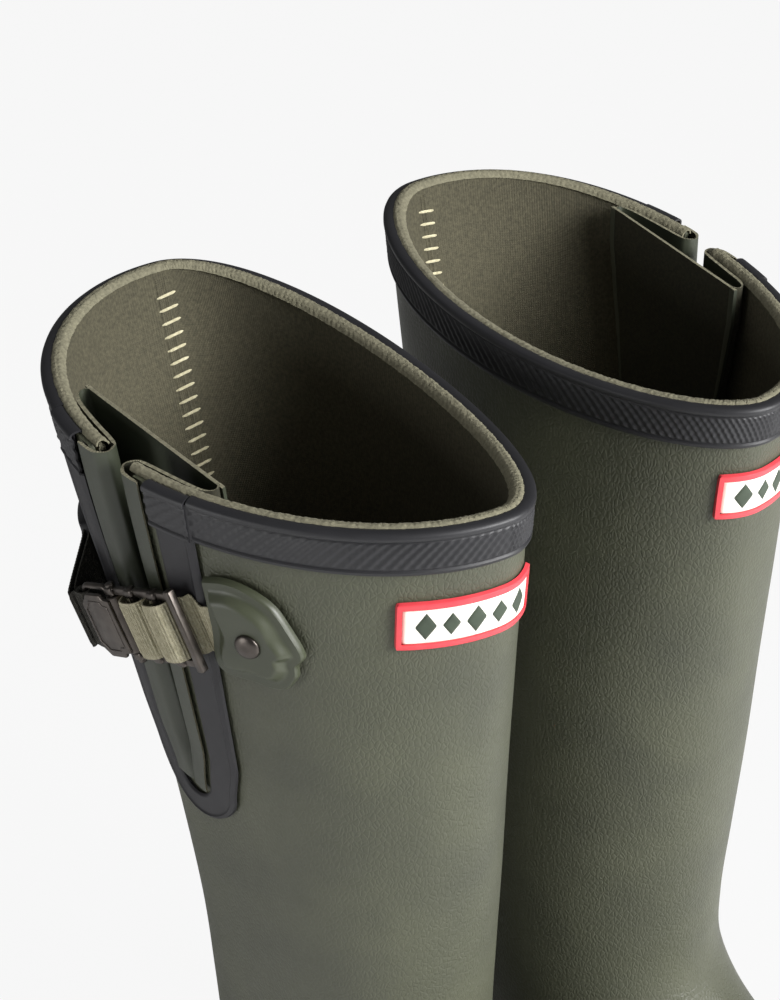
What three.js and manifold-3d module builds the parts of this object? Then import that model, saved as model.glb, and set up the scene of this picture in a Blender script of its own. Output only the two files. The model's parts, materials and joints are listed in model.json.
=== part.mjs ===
// A pair of insulated rubber hunting boots with an adjustable calf: a grained rubber upper on a neoprene
// lining, a bellows gusset on the outer side of each leg, and a strap that closes over it with a ladder
// buckle and a flip-open hook. Millimetres, +Z up, +Y towards the toes, +X towards the wearer's right.
// The right boot is built about its own ankle axis, and the left boot is its mirror image.
import * as THREE from "three";
import Module from "manifold-3d";
import { mergeVertices } from "three/addons/utils/BufferGeometryUtils.js";

const wasm = await Module();
wasm.setup();

// ---------------------------------------------------------------- driving dimensions
const BOOT_SPACING = 110; // between the two ankle axes
const TOE_OUT = 4; // degrees that each boot turns outwards
const GAP = 0.3; // between bonded layers
const BOND = 0.9; // under small patches that bridge the facets of the wall

const RUBBER = 2; // wall of the upper
const NEOPRENE = 3; // wall of the lining
const TRIM = 1.6; // band, foxing and heel patch
const PATCH = 1.2; // gusset, its surround and the back strip

const SLOT_FRONT = 85; // degrees round the leg from the front, where the gusset slot begins
const SLOT_REAR = 98.5; // and where it ends
const SLOT_TAPER = 3; // degrees that each edge closes in by at the slot's foot
const FLAP_TURN = 14; // degrees of leg that the gusset's flat flap covers on each side of the slot
const SLOT_ROW = 6; // the station at the slot's foot
const SURROUND_FOOT = 0.32; // of a station below the slot that the flap runs on
const STRAP_DROP = 48; // from the rim to the middle of the buckle
const STRAP_TILT = 12; // degrees that the strap falls towards the heel
const BUCKLE_SAG = 14; // degrees that the buckle hangs below the strap's line
const BUCKLE_MIDDLE = 1.5; // forwards of the slot's front edge

const WEBBING_WIDTH = 19.5;
const WEBBING = 1.4;
const FRAME_LENGTH = 33;
const FRAME_HEIGHT = 25.6;
const FRAME_LIFT = 6.2; // from the rubber to the middle of the buckle
const BAR = 2.8; // buckle bars, diameter
const RAIL = 2.6; // buckle rails, tall
const PLATE_LENGTH = 14;
const PLATE = 1.4;
const RING_WIRE = 2.2;
const RING_LENGTH = 12;
const RIVET_HEAD = 9;
const RIVET_SHANK = 3;

const LABEL_WIDTH = 47;
const LABEL_HEIGHT = 16.5;
const LABEL_BORDER = 2.2;
const LABEL_DROP = 31; // from the rim to the middle of the label
const LABEL_SHIFT = 8; // outwards from the front of the leg
const LABEL = 0.9;

const SOLE_EDGE = 3.6; // how far the outsole stands out past the upper
const SOLE_PLATE = 6.5;
const LUG_DEPTH = 5;
const HEEL_BREAST = -6; // y of the heel's front face
const BOARD = 3;
const FOOTBED = 4;

// Stations down the leg and along the foot. Each is a ring from a point on the back of the boot to one on
// its front. In order, its values are the y and z of the back, the y and z of the front, its half width,
// how far its middle stands outwards (bulge), how much wider it is behind (egg), how far its back swings
// outwards (skew), how far its sides dip below its ends (dip), and its share of the sole's outline, which
// goes from 0, an oval, to 1 (foot).
const STATIONS = [
  [-102, 407, 74, 393.3, 54, 16, 0.13, 7, 6.4, 0],
  [-99, 394, 73.2, 380.3, 53.6, 15, 0.13, 6.6, 6.4, 0],
  [-94, 374, 71.8, 361.5, 53, 13, 0.12, 6, 6, 0],
  [-88.5, 353, 70.5, 342.5, 52, 11, 0.11, 5, 5, 0],
  [-82, 327, 69, 319, 50.8, 9, 0.09, 4, 4, 0],
  [-77, 303, 67.5, 298, 49.7, 7, 0.07, 3, 3, 0],
  [-72.5, 279, 66.2, 277, 48.5, 5, 0.05, 2, 2, 0],
  [-65.5, 241, 64.5, 242, 46.8, 3, 0.03, 1, 1, 0],
  [-60, 203, 62, 206, 45.5, 1, 0.02, 0, 0, 0],
  [-57, 168, 60.5, 172, 44.3, 0, 0.02, 0, 0, 0],
  [-55.5, 138, 63, 146, 43.5, 0, 0, 0, 0, 0],
  [-57, 112, 78, 126, 43, 0, 0, 0, 0, 0.1],
  [-61, 91, 104, 110, 43, 0, 0, 0, 0, 0.3],
  [-66, 74, 135, 97, 44, 0, 0, 0, 0, 0.5],
  [-70, 60, 165, 84, 46.5, 0, 0, 0, 0, 0.7],
  [-72, 50, 192, 71, 49, 0, 0, 0, 0, 0.85],
  [-72, 42, 212, 57, 51, 0, 0, 0, 0, 0.95],
  [-71, 35, 224, 42, 52, 0, 0, 0, 0, 1],
  [-69, 28, 229, 21, 52, 0, 0, 0, 0, 1],
].map(([yBack, zBack, yFront, zFront, half, bulge, egg, skew, dip, foot]) => {
  return { back: [yBack, zBack], front: [yFront, zFront], half, bulge, egg, skew, dip, foot };
});
const RIM_ROW = 0;
const BAND_ROW = 1;
const LAST_ROW = STATIONS.length - 1;
const FOXING_ROW = LAST_ROW - 2;
const TOE_ROW = LAST_ROW - 5;
const HEEL_ROW = 12;
// Half widths of the sole from heel (-1) to toe (1), as shares of a station's half width.
const OUTSIDE = [[-1, 0.8], [-0.6, 0.8], [-0.2, 0.76], [0.2, 0.92], [0.5, 1.07], [0.8, 1.1], [1, 1.05]];
const INSIDE = [[-1, 0.8], [-0.6, 0.78], [-0.2, 0.66], [0.2, 0.8], [0.5, 1.0], [0.8, 1.14], [1, 1.15]];
const SOLE_ROUNDNESS = 2.5; // how square the sole's ends are
const BALL = 0.35; // where the sole is lowest, from heel (-1) to toe (1)
const SOLE_LINE = STATIONS[LAST_ROW];
const BALL_DROP = lowerEdge(BALL) - (GAP + SOLE_PLATE + LUG_DEPTH);

// ---------------------------------------------------------------- the leg and foot as one surface
function lowerEdge(c) {
  return SOLE_LINE.back[1] + ((SOLE_LINE.front[1] - SOLE_LINE.back[1]) * (1 + c)) / 2;
}

const between = THREE.MathUtils.lerp;
const radians = THREE.MathUtils.degToRad;

function along(table, s) {
  const i = Math.max(0, Math.min(table.length - 2, table.findIndex(([at]) => at > s) - 1));
  const [[s0, v0], [s1, v1]] = [table[i], table[i + 1]];
  const t = THREE.MathUtils.smoothstep(s, s0, s1);
  return between(v0, v1, t);
}

// A point of the outer surface: turn is in degrees from the front towards the wearer's outer side, and
// row counts down the stations.
function surface(turn, row) {
  const at = Math.max(0, Math.min(LAST_ROW - 1, Math.floor(row)));
  const t = row - at;
  const [a, b] = [STATIONS[at], STATIONS[at + 1]];
  const mix = (f) => between(f(a), f(b), t);
  const c = Math.cos(radians(turn));
  const s = Math.sin(radians(turn));
  const foot = mix((k) => k.foot);
  const oval = s * (1 - mix((k) => k.egg) * c);
  const shares = s > 0 ? OUTSIDE : INSIDE;
  const end = Math.pow(Math.max(0, 1 - Math.pow(Math.abs(c), SOLE_ROUNDNESS)), 1 / SOLE_ROUNDNESS);
  const sole = Math.sign(s) * end * along(shares, c);
  const half = mix((k) => k.half) + mix((k) => k.bulge) * Math.sign(s);
  const x = half * between(oval, sole, foot) - mix((k) => k.skew) * c;
  const y = between(mix((k) => k.back[0]), mix((k) => k.front[0]), (1 + c) / 2);
  const sag = BALL_DROP * Math.pow(foot, 8) * Math.exp(-(((c - BALL) / 0.4) ** 2));
  const level = between(mix((k) => k.back[1]), mix((k) => k.front[1]), (1 + c) / 2);
  const z = level - sag - mix((k) => k.dip) * s * s;
  return new THREE.Vector3(x, y, z);
}

// The columns of the wall's grid, from the slot's rear edge round the heel side and the toe side to its
// front edge. They are the same on both sides of the foot, so that each has a partner across the sole.
const STEPS = 10;
const steps = (from, to, count) => [...Array(count + 1).keys()].map((k) => between(from, to, k / count));
const COLUMNS = [
  SLOT_REAR,
  ...steps(SLOT_REAR + FLAP_TURN, 360 - SLOT_REAR - FLAP_TURN, STEPS),
  360 - SLOT_REAR,
  360 - SLOT_FRONT,
  ...steps(360 - SLOT_FRONT + FLAP_TURN, 360 + SLOT_FRONT - FLAP_TURN, STEPS),
  360 + SLOT_FRONT,
];
const COUNT = COLUMNS.length;
const HEEL_COLUMN = 1 + STEPS / 2;
const TOE_COLUMN = HEEL_COLUMN + COUNT / 2;

function columnTurn(i, row) {
  const below = THREE.MathUtils.smoothstep(row, SLOT_ROW - 1, SLOT_ROW);
  const taper = SLOT_TAPER * below;
  if (i === 0) return COLUMNS[0] - taper;
  if (i === COUNT - 1) return COLUMNS[COUNT - 1] + taper;
  return COLUMNS[i];
}

function normalAt(turn, row) {
  const dr = 0.25;
  const dt = 3;
  const across = surface(turn + dt, row).sub(surface(turn - dt, row));
  const down = surface(turn, Math.min(LAST_ROW, row + dr)).sub(surface(turn, Math.max(0, row - dr)));
  return across.cross(down).normalize();
}

const GRID = STATIONS.map((_, row) =>
  COLUMNS.map((_, i) => {
    const turn = columnTurn(i, row);
    return { p: surface(turn, row), n: normalAt(turn, row) };
  }),
);

// A point on the wall's own facets, at fractions of a column and a row, so that what is bonded to them
// lies flat.
function onGrid(column, row, off) {
  const j = Math.max(0, Math.min(LAST_ROW - 1, Math.floor(row)));
  const i = Math.floor(column);
  const at = (r, c) => {
    const { p, n } = GRID[r][(c + COUNT) % COUNT];
    return p.clone().addScaledVector(n, off);
  };
  const upper = at(j, i).lerp(at(j, i + 1), column - i);
  return upper.lerp(at(j + 1, i).lerp(at(j + 1, i + 1), column - i), row - j);
}

function columnOf(turn) {
  let a = turn;
  while (a < SLOT_REAR) a += 360;
  const next = (i) => (i === COUNT - 1 ? SLOT_REAR + 360 : COLUMNS[i + 1]);
  const i = COLUMNS.findIndex((_, k) => next(k) > a);
  return i + (a - COLUMNS[i]) / (next(i) - COLUMNS[i]);
}

const wall = (turn, row, off) => onGrid(columnOf(turn), row, off);

// The turn that lies a distance in millimetres forwards (less turn) of another, along one row.
function forwards(turn, row, distance) {
  const step = distance > 0 ? -0.25 : 0.25;
  let [a, left] = [turn, Math.abs(distance)];
  while (left > 0) {
    left -= surface(a, row).distanceTo(surface(a + step, row));
    a += step;
  }
  return a;
}

// The row that lies a distance in millimetres below the rim.
function rowBelowRim(turn, drop) {
  let row = 0;
  while (surface(turn, 0).distanceTo(surface(turn, row)) < drop) row += 0.01;
  return row;
}

// ---------------------------------------------------------------- making solids
function geometry(points, faces) {
  const g = new THREE.BufferGeometry();
  g.setAttribute("position", new THREE.Float32BufferAttribute(points.flatMap((p) => p.toArray()), 3));
  g.setIndex(faces.flat());
  return g;
}

// A closed sheet between two faces of a grid. outer and inner give a point for row j and column i, wraps
// joins the last column to the first, has says which cells exist, and floor closes the last row across.
function sheet({ rows, columns, wraps = false, has = () => true, outer, inner, floor = false }) {
  const points = [];
  const faces = [];
  const at = new Map();
  const id = (face, j, i) => {
    const key = `${face}.${j}.${wraps ? i % columns : i}`;
    if (!at.has(key)) {
      at.set(key, points.length);
      points.push((face ? outer : inner)(j, wraps ? i % columns : i));
    }
    return at.get(key);
  };
  const wide = wraps ? columns : columns - 1;
  const cell = (j, i) => {
    if (wraps) i = (i + wide) % wide;
    return j >= 0 && j < rows - 1 && i >= 0 && i < wide && has(j, i);
  };
  const quad = (a, b, c, d) => faces.push([a, c, b], [a, d, c]);
  for (let j = 0; j < rows - 1; j++)
    for (let i = 0; i < wide; i++) {
      if (!cell(j, i)) continue;
      quad(id(1, j, i), id(1, j + 1, i), id(1, j + 1, i + 1), id(1, j, i + 1));
      quad(id(0, j, i), id(0, j, i + 1), id(0, j + 1, i + 1), id(0, j + 1, i));
      if (!cell(j - 1, i)) quad(id(0, j, i), id(1, j, i), id(1, j, i + 1), id(0, j, i + 1));
      if (!cell(j + 1, i) && !(floor && j === rows - 2))
        quad(id(1, j + 1, i), id(0, j + 1, i), id(0, j + 1, i + 1), id(1, j + 1, i + 1));
      if (!cell(j, i - 1)) quad(id(1, j, i), id(0, j, i), id(0, j + 1, i), id(1, j + 1, i));
      if (!cell(j, i + 1))
        quad(id(0, j, i + 1), id(1, j, i + 1), id(1, j + 1, i + 1), id(0, j + 1, i + 1));
    }
  if (floor) {
    const ring = (face) => [...Array(columns).keys()].map((i) => id(face, rows - 1, i));
    faces.push(...acrossSole(ring(0)), ...acrossSole(ring(1)).map(([a, b, c]) => [a, c, b]));
  }
  return geometry(points, faces);
}

// Triangles that face up, across a ring of the grid's columns, from each column to its partner.
function acrossSole(ring) {
  const at = (k) => ring[(k + 2 * COUNT) % COUNT];
  const faces = [];
  for (let k = 0; k < COUNT / 2; k++) {
    const [a, b, c, d] = [TOE_COLUMN + k, TOE_COLUMN + k + 1, TOE_COLUMN - k - 1, TOE_COLUMN - k].map(at);
    if (a !== d) faces.push([a, d, c]);
    if (b !== c) faces.push([a, c, b]);
  }
  return faces;
}

// A solid between an upper and a lower ring of the grid's columns.
function prism(top, bottom) {
  const points = [...top, ...bottom];
  const upper = [...top.keys()];
  const lower = upper.map((k) => k + COUNT);
  const faces = [...acrossSole(upper), ...acrossSole(lower).map(([a, b, c]) => [a, c, b])];
  upper.forEach((_, i) => {
    const j = (i + 1) % COUNT;
    faces.push([i, COUNT + j, COUNT + i], [i, j, COUNT + j]);
  });
  return geometry(points, faces);
}

function solid(g) {
  const bare = g.clone();
  bare.deleteAttribute("normal");
  bare.deleteAttribute("uv");
  const merged = mergeVertices(bare, 1e-4);
  const made = new wasm.Manifold(
    new wasm.Mesh({
      numProp: 3,
      vertProperties: merged.attributes.position.array,
      triVerts: new Uint32Array(merged.index.array),
    }),
  );
  if (made.volume() >= 0) return made;
  merged.index.array.forEach((_, k, all) => {
    if (k % 3 === 0) [all[k], all[k + 1]] = [all[k + 1], all[k]];
  });
  return solid(merged);
}

function shape(made) {
  const mesh = made.getMesh();
  const g = new THREE.BufferGeometry();
  g.setAttribute("position", new THREE.BufferAttribute(mesh.vertProperties, 3));
  g.setIndex(new THREE.BufferAttribute(mesh.triVerts, 1));
  return g;
}

const join = (...parts) => parts.map((g) => solid(g)).reduce((a, b) => a.add(b));
const cut = (from, ...parts) => parts.map((g) => solid(g)).reduce((a, b) => a.subtract(b), from);

const box = (u, w, n, u0, w0, n0) => new THREE.BoxGeometry(u, w, n).translate(u0, w0, n0);

function bar(diameter, length, u0, n0, sides = 10) {
  return new THREE.CylinderGeometry(diameter / 2, diameter / 2, length, sides).translate(u0, 0, n0);
}

// An outline in u and n, extruded along w about the strap's middle.
function across(outline, width) {
  const g = new THREE.ExtrudeGeometry(new THREE.Shape(outline.map(([u, n]) => new THREE.Vector2(u, n))), {
    depth: width,
    bevelEnabled: false,
  });
  return shape(solid(g.translate(0, 0, -width / 2).rotateX(-Math.PI / 2).scale(1, 1, -1)));
}

// ---------------------------------------------------------------- materials
const finish = (color, roughness, metalness = 0) =>
  new THREE.MeshStandardMaterial({ color, roughness, metalness });
const RUBBER_OLIVE = finish("#4a5240", 0.55);
const RUBBER_SMOOTH = finish("#4d4f49", 0.5);
const RUBBER_BLACK = finish("#2f2e30", 0.55);
const SOLE_RUBBER = finish("#262728", 0.7);
const LINING = finish("#6b6654", 0.95);
const WEBBING_OLIVE = finish("#6e6c58", 0.9);
const WEBBING_DARK = finish("#2b2a24", 0.9);
const GUNMETAL = finish("#5a5254", 0.35, 1);
const LABEL_RED = finish("#d8454d", 0.45);
const LABEL_CREAM = finish("#f4f1e4", 0.5);
const FIBRE = finish("#8a7a5c", 0.95);
const STEEL = finish("#8f9294", 0.35, 1);
const FOAM = finish("#3c3f38", 0.95);

// ---------------------------------------------------------------- the upper and its layers
// A ring inside the wall (or, with a negative inset, outside it) at a height above the sole's line.
function soleRing(inset, rise) {
  return GRID[LAST_ROW].map(({ p }, i) => {
    const height = p.z + rise;
    let row = LAST_ROW - 1;
    while (row > 0 && onGrid(i, row, -inset).z < height) row--;
    const [above, below] = [onGrid(i, row, -inset), onGrid(i, row + 1, -inset)];
    const at = above.lerp(below, (above.z - height) / (above.z - below.z));
    return at.setZ(height);
  });
}

const BOARD_TOP = GAP + BOARD;
const LINING_BOTTOM = BOARD_TOP + GAP;
const FOOTBED_BOTTOM = LINING_BOTTOM + NEOPRENE + GAP;
const LINING_OUT = RUBBER + GAP;
const LINING_IN = LINING_OUT + NEOPRENE;

// One skin of a leg and foot: an inset from the wall, ending in a ring above the sole's line.
function skin(inset, rise) {
  const last = soleRing(inset, rise);
  return (j, i) => (j === LAST_ROW ? last[i].clone() : onGrid(i, j, -inset));
}

function legAndFoot(outer, inner, floor) {
  const has = (j, i) => i !== COUNT - 1 || j >= SLOT_ROW;
  return sheet({ rows: LAST_ROW + 1, columns: COUNT, wraps: true, has, outer, inner, floor });
}

const upperShell = () => legAndFoot(skin(0, 0), skin(RUBBER, 0), false);
const lining = () =>
  legAndFoot(skin(LINING_OUT, LINING_BOTTOM), skin(LINING_IN, LINING_BOTTOM + NEOPRENE), true);

// A layer bonded to the outside of the wall, over a list of columns and a list of rows.
function layer(columns, rows, start, thickness, { wraps = false, has = () => true } = {}) {
  return sheet({
    rows: rows.length,
    columns: columns.length,
    wraps,
    has,
    outer: (j, i) => onGrid(columns[i], rows[j], start + thickness),
    inner: (j, i) => onGrid(columns[i], rows[j], start),
  });
}

const whole = (from, to) => [...Array(to - from + 1).keys()].map((k) => from + k);
const EDGE_GAP = 0.03; // the part of a row or column left between neighbours

const topBand = () =>
  layer([1 + EDGE_GAP, ...whole(2, COUNT - 3), COUNT - 2 - EDGE_GAP], [RIM_ROW, BAND_ROW], GAP, TRIM);

// A patch on the wall over a list of turns and a list of rows.
const patch = (turns, rows, start, thickness) => layer(turns.map(columnOf), rows, start, thickness);

const FLAP_START = GAP;
const FLAP_OUT = FLAP_START + PATCH;

// The band's short end pieces lie over the gusset's flap.
const bandEnd = (from, to) =>
  layer([from, (from + to) / 2, to], [RIM_ROW, BAND_ROW], FLAP_OUT + GAP, TRIM);

// The flat flap that frames the slot, down each side and round its foot.
const surround = () => {
  const rows = [...whole(RIM_ROW, SLOT_ROW), SLOT_ROW + SURROUND_FOOT];
  const has = (j, i) => i !== 1 || j >= SLOT_ROW;
  return layer([COUNT - 2, COUNT - 1, COUNT, COUNT + 1], rows, FLAP_START, PATCH, { has });
};

// ---------------------------------------------------------------- the bellows gusset
// Its path at one height, in millimetres forwards of the panel's edge and outwards of the wall. The rear
// half is the same path run backwards from the rear panel's edge.
const PANEL = RUBBER + GAP + NEOPRENE;
const HALF_PATCH = PATCH / 2;
function gussetSide(reach) {
  const deep = -PANEL - GAP - HALF_PATCH;
  return [
    [-1.5, 0],
    [-3.4, -1.6],
    [-3.9, -PANEL / 2],
    [-3.2, deep + 1.4],
    [-1.2, deep - 0.2],
    [0.35 * reach, deep - 1.2],
    [0.75 * reach, deep - 0.6],
    [reach - 1.5, deep - 0.9],
    [reach, deep - 2.6],
    [reach - 2, deep - 4.4],
  ];
}
const GUSSET_REACH = [25, 25, 22, 18.5, 15, 11, 7]; // how deep its folds run at each station

function gussetPath(row) {
  const reach = GUSSET_REACH[Math.round(row)];
  const front = gussetSide(reach).map(([d, h]) => [columnTurn(COUNT - 1, row) - 360, d, h]);
  const rear = gussetSide(reach * 1.1).map(([d, h]) => [columnTurn(0, row), -d, h]);
  return [...front, ...rear.reverse()].map(([turn, d, h]) => {
    const at = forwards(turn, row, d);
    return surface(at, row).addScaledVector(normalAt(at, row), h);
  });
}

function gusset() {
  const foot = SLOT_ROW - EDGE_GAP;
  const paths = [...whole(RIM_ROW, SLOT_ROW - 1), foot].map((row) => gussetPath(row));
  const side = (j, i, off) => {
    const path = paths[j];
    const ahead = path[Math.min(path.length - 1, i + 1)].clone().sub(path[Math.max(0, i - 1)]);
    const n = new THREE.Vector3(-ahead.y, ahead.x, 0).normalize();
    return path[i].clone().addScaledVector(n, off);
  };
  return sheet({
    rows: paths.length,
    columns: paths[0].length,
    outer: (j, i) => side(j, i, HALF_PATCH),
    inner: (j, i) => side(j, i, -HALF_PATCH),
  });
}

// ---------------------------------------------------------------- the strap over the gusset
// The strap's own coordinates: u forwards along it and w up across it, from the middle of the buckle.
const STRAP_ROW = rowBelowRim(SLOT_FRONT, STRAP_DROP);
const tilt = radians(STRAP_TILT);
function onStrap(u, w, off) {
  const ahead = BUCKLE_MIDDLE + u * Math.cos(tilt) - w * Math.sin(tilt);
  const turn = forwards(SLOT_FRONT, STRAP_ROW, ahead);
  const drop = STRAP_DROP - u * Math.sin(tilt) - w * Math.cos(tilt);
  return wall(turn, rowBelowRim(turn, drop), off);
}

// Axes on the wall at a point of the strap: u forwards, w up and n outwards.
function strapAxes(u, w, lift) {
  const origin = onStrap(u, w, 0);
  const forward = onStrap(u + 4, w, 0).sub(onStrap(u - 4, w, 0)).normalize();
  const up = onStrap(u, w + 4, 0).sub(onStrap(u, w - 4, 0));
  const n = new THREE.Vector3().crossVectors(forward, up).normalize();
  up.crossVectors(n, forward);
  return new THREE.Matrix4().makeBasis(forward, up, n).setPosition(origin.addScaledVector(n, lift));
}

// A patch of the wall over a list of u and a list of w, which may depend on u.
function strapPatch(us, ws, start, top) {
  return sheet({
    rows: ws(0).length,
    columns: us.length,
    outer: (j, i) => onStrap(us[i], ws(i)[j], top(j, i)),
    inner: (j, i) => onStrap(us[i], ws(i)[j], start),
  });
}

const sag = new THREE.Matrix4().makeRotationZ(radians(BUCKLE_SAG));
const buckleAxes = strapAxes(0, 0, FRAME_LIFT).multiply(sag);
const inBuckle = (p) => p.clone().applyMatrix4(buckleAxes.clone().invert());
const FRONT_BAR = FRAME_LENGTH / 2; // u of the flat end bar's front face
const HOOK_BAR = BAR / 2 - FRAME_LENGTH / 2; // u of the bar that the hook turns on
const LADDER_BARS = [-5, 6.5];
const RING_FRONT = HOOK_BAR - 4.6;
const RING_REAR = RING_FRONT - RING_LENGTH;
const RING_LEVEL = -1.2;

function buckleFrame() {
  const railAt = FRAME_HEIGHT / 2 - RAIL / 2;
  const rail = (w) => box(FRAME_LENGTH, RAIL, 1.8, 0, w, 0);
  const bars = [HOOK_BAR, ...LADDER_BARS].map((u) => bar(BAR, FRAME_HEIGHT - RAIL, u, 0));
  const endBar = box(2.4, FRAME_HEIGHT + 1.6, 2.6, FRONT_BAR - 1.2, 0, 0.4);
  return shape(join(rail(railAt), rail(-railAt), ...bars, endBar));
}

function hookPlate() {
  const height = FRAME_HEIGHT - 2 * RAIL - 2 * GAP;
  const out = BAR / 2 + 0.9;
  const back = PLATE_LENGTH;
  const chamfer = 3.6;
  const outline = new THREE.Shape([
    new THREE.Vector2(0, -height / 2),
    new THREE.Vector2(0, height / 2),
    new THREE.Vector2(-back + chamfer, height / 2),
    new THREE.Vector2(-back, height / 2 - chamfer),
    new THREE.Vector2(-back, -height / 2 + chamfer),
    new THREE.Vector2(-back + chamfer, -height / 2),
  ]);
  const plate = new THREE.ExtrudeGeometry(outline, { depth: PLATE, bevelEnabled: false });
  plate.translate(HOOK_BAR, 0, out - 0.4);
  const knuckle = bar(BAR + 2 * GAP + 1.8, height, HOOK_BAR, 0, 14);
  const bore = bar(BAR + 2 * GAP, height + 2, HOOK_BAR, 0, 14);
  const prong = box(1.5, 11, out + 3.2, HOOK_BAR - 7.4, 0, (out - 3.2) / 2);
  return shape(cut(join(plate, knuckle, prong), bore));
}

function strapRing() {
  const wide = WEBBING_WIDTH + 2 * RING_WIRE + 1;
  const wire = (u, w, lu, lw) => box(lu, lw, RING_WIRE, u, w, RING_LEVEL);
  const middle = (RING_FRONT + RING_REAR) / 2;
  const reach = RING_LENGTH + RING_WIRE;
  const rail = (wide - RING_WIRE) / 2;
  return shape(
    join(
      wire(middle, rail, reach, RING_WIRE),
      wire(middle, -rail, reach, RING_WIRE),
      bar(RING_WIRE, wide, RING_FRONT, RING_LEVEL),
      bar(RING_WIRE, wide, RING_REAR, RING_LEVEL),
    ),
  );
}

// The woven part: under the end bar, over each ladder bar, and tucked in behind the hook bar.
function webbingWeave() {
  const over = BAR / 2 + GAP + WEBBING / 2;
  const middle = [STUB_HINGE, [FRONT_BAR - 1, -over - 0.6], [FRONT_BAR - 4, -over]];
  for (const at of [...LADDER_BARS].reverse()) {
    middle.push([at + 5, -over + 0.2], [at + 3, 1.2], [at, over], [at - 3, 1.2]);
  }
  middle.push([LADDER_BARS[0] - 4.6, -over + 0.6]);
  const side = (off) =>
    middle.map(([u, n], k) => {
      const [a, b] = [middle[Math.max(0, k - 1)], middle[Math.min(middle.length - 1, k + 1)]];
      const d = new THREE.Vector2(b[0] - a[0], b[1] - a[1]).normalize();
      return [u - d.y * off, n + d.x * off];
    });
  const weave = across([...side(WEBBING / 2), ...side(-WEBBING / 2).reverse()], WEBBING_WIDTH);
  return shape(join(weave, across(disc(WEBBING / 2, ...STUB_HINGE), WEBBING_WIDTH)));
}

const TAB_BACK = 21; // forwards of the buckle's middle, where the tab begins
const TAB_LENGTH = 31;
const TAB_HEIGHT = 32;
const TAB_EDGE = 2.6;
const TAB_CROWN = 2.2;
const STUB_END = 22; // how far the webbing runs on under the tab
const RIVET_IN = 13.5; // from the tab's back edge to its rivet
const STRAP_START = FLAP_OUT + GAP;

// The tab is a leaf: square at the back, widest at a third of its length, and pointed in front.
const LEAF = [[0, 0.86], [0.25, 0.98], [0.5, 0.98], [0.75, 0.78], [0.92, 0.42], [1, 0.12]];
function tabLeaf() {
  const ups = [1, 0.55, 0, -0.55, -1];
  const ws = (i) => ups.map((up) => (up * LEAF[i][1] * TAB_HEIGHT) / 2);
  const dome = (j, i) => (1 - ups[j] ** 2) * Math.sin(Math.PI * Math.min(1, LEAF[i][0] + 0.25));
  const top = (j, i) => STRAP_START + TAB_EDGE + TAB_CROWN * Math.max(0, dome(j, i));
  return strapPatch(LEAF.map(([share]) => TAB_BACK + share * TAB_LENGTH), ws, STRAP_START, top);
}

function stubSolid(margin) {
  const us = [-HINGE_BACK - margin, 1, 5, 9, 13, 17, STUB_END + margin].map((u) => TAB_BACK + u);
  const half = WEBBING_WIDTH / 2 + margin;
  const low = STRAP_START - margin;
  return strapPatch(us, () => [half, 0, -half], low, () => STRAP_START + WEBBING + margin);
}

const rivetAxes = strapAxes(TAB_BACK + RIVET_IN, 0, 0);
const TAB_TOP = STRAP_START + TAB_EDGE + TAB_CROWN;
const placed = (g, axes) => g.clone().applyMatrix4(axes);

// A domed rivet, from its foot near the rubber up to the piece that it holds.
function rivet(top) {
  const r = RIVET_HEAD / 2;
  const profile = [
    [0, BOND], [RIVET_SHANK / 2, BOND], [RIVET_SHANK / 2, top + GAP], [r, top + GAP],
    [r * 0.94, top + GAP + 0.9], [r * 0.6, top + GAP + 1.7], [0, top + GAP + 2.2],
  ].map(([x, y]) => new THREE.Vector2(x, y));
  return new THREE.LatheGeometry(profile, 14).rotateX(Math.PI / 2);
}

const hole = (radius, length) =>
  new THREE.CylinderGeometry(radius, radius, length, 14).rotateX(Math.PI / 2);
const rivetHole = (axes) => placed(hole(RIVET_SHANK / 2 + GAP, 30), axes);

function frontTab() {
  const body = solid(tabLeaf()).subtract(solid(stubSolid(GAP)));
  return shape(body.subtract(solid(rivetHole(rivetAxes))));
}

const HINGE_BACK = 3; // from the tab's back edge to the line that the buckle swings about
const hingePoint = inBuckle(onStrap(TAB_BACK - HINGE_BACK, 0, STRAP_START + WEBBING / 2));
const STUB_HINGE = [hingePoint.x, hingePoint.z]; // the same line in the buckle's u and n
const arc = (r, u, n, angles) =>
  angles.map((a) => [u + r * Math.cos(radians(a)), n + r * Math.sin(radians(a))]);
const disc = (r, u, n) => arc(r, u, n, steps(0, 330, 11));

function webbingStub() {
  const bend = across(disc(WEBBING / 2 + 2 * GAP, ...STUB_HINGE), 2 * WEBBING_WIDTH);
  const behind = box(20, 2 * WEBBING_WIDTH, 20, STUB_HINGE[0] - 10, 0, STUB_HINGE[1]);
  const ends = [bend, behind].map((g) => placed(g, buckleAxes));
  return shape(cut(solid(stubSolid(0)), rivetHole(rivetAxes), ...ends));
}

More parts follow.
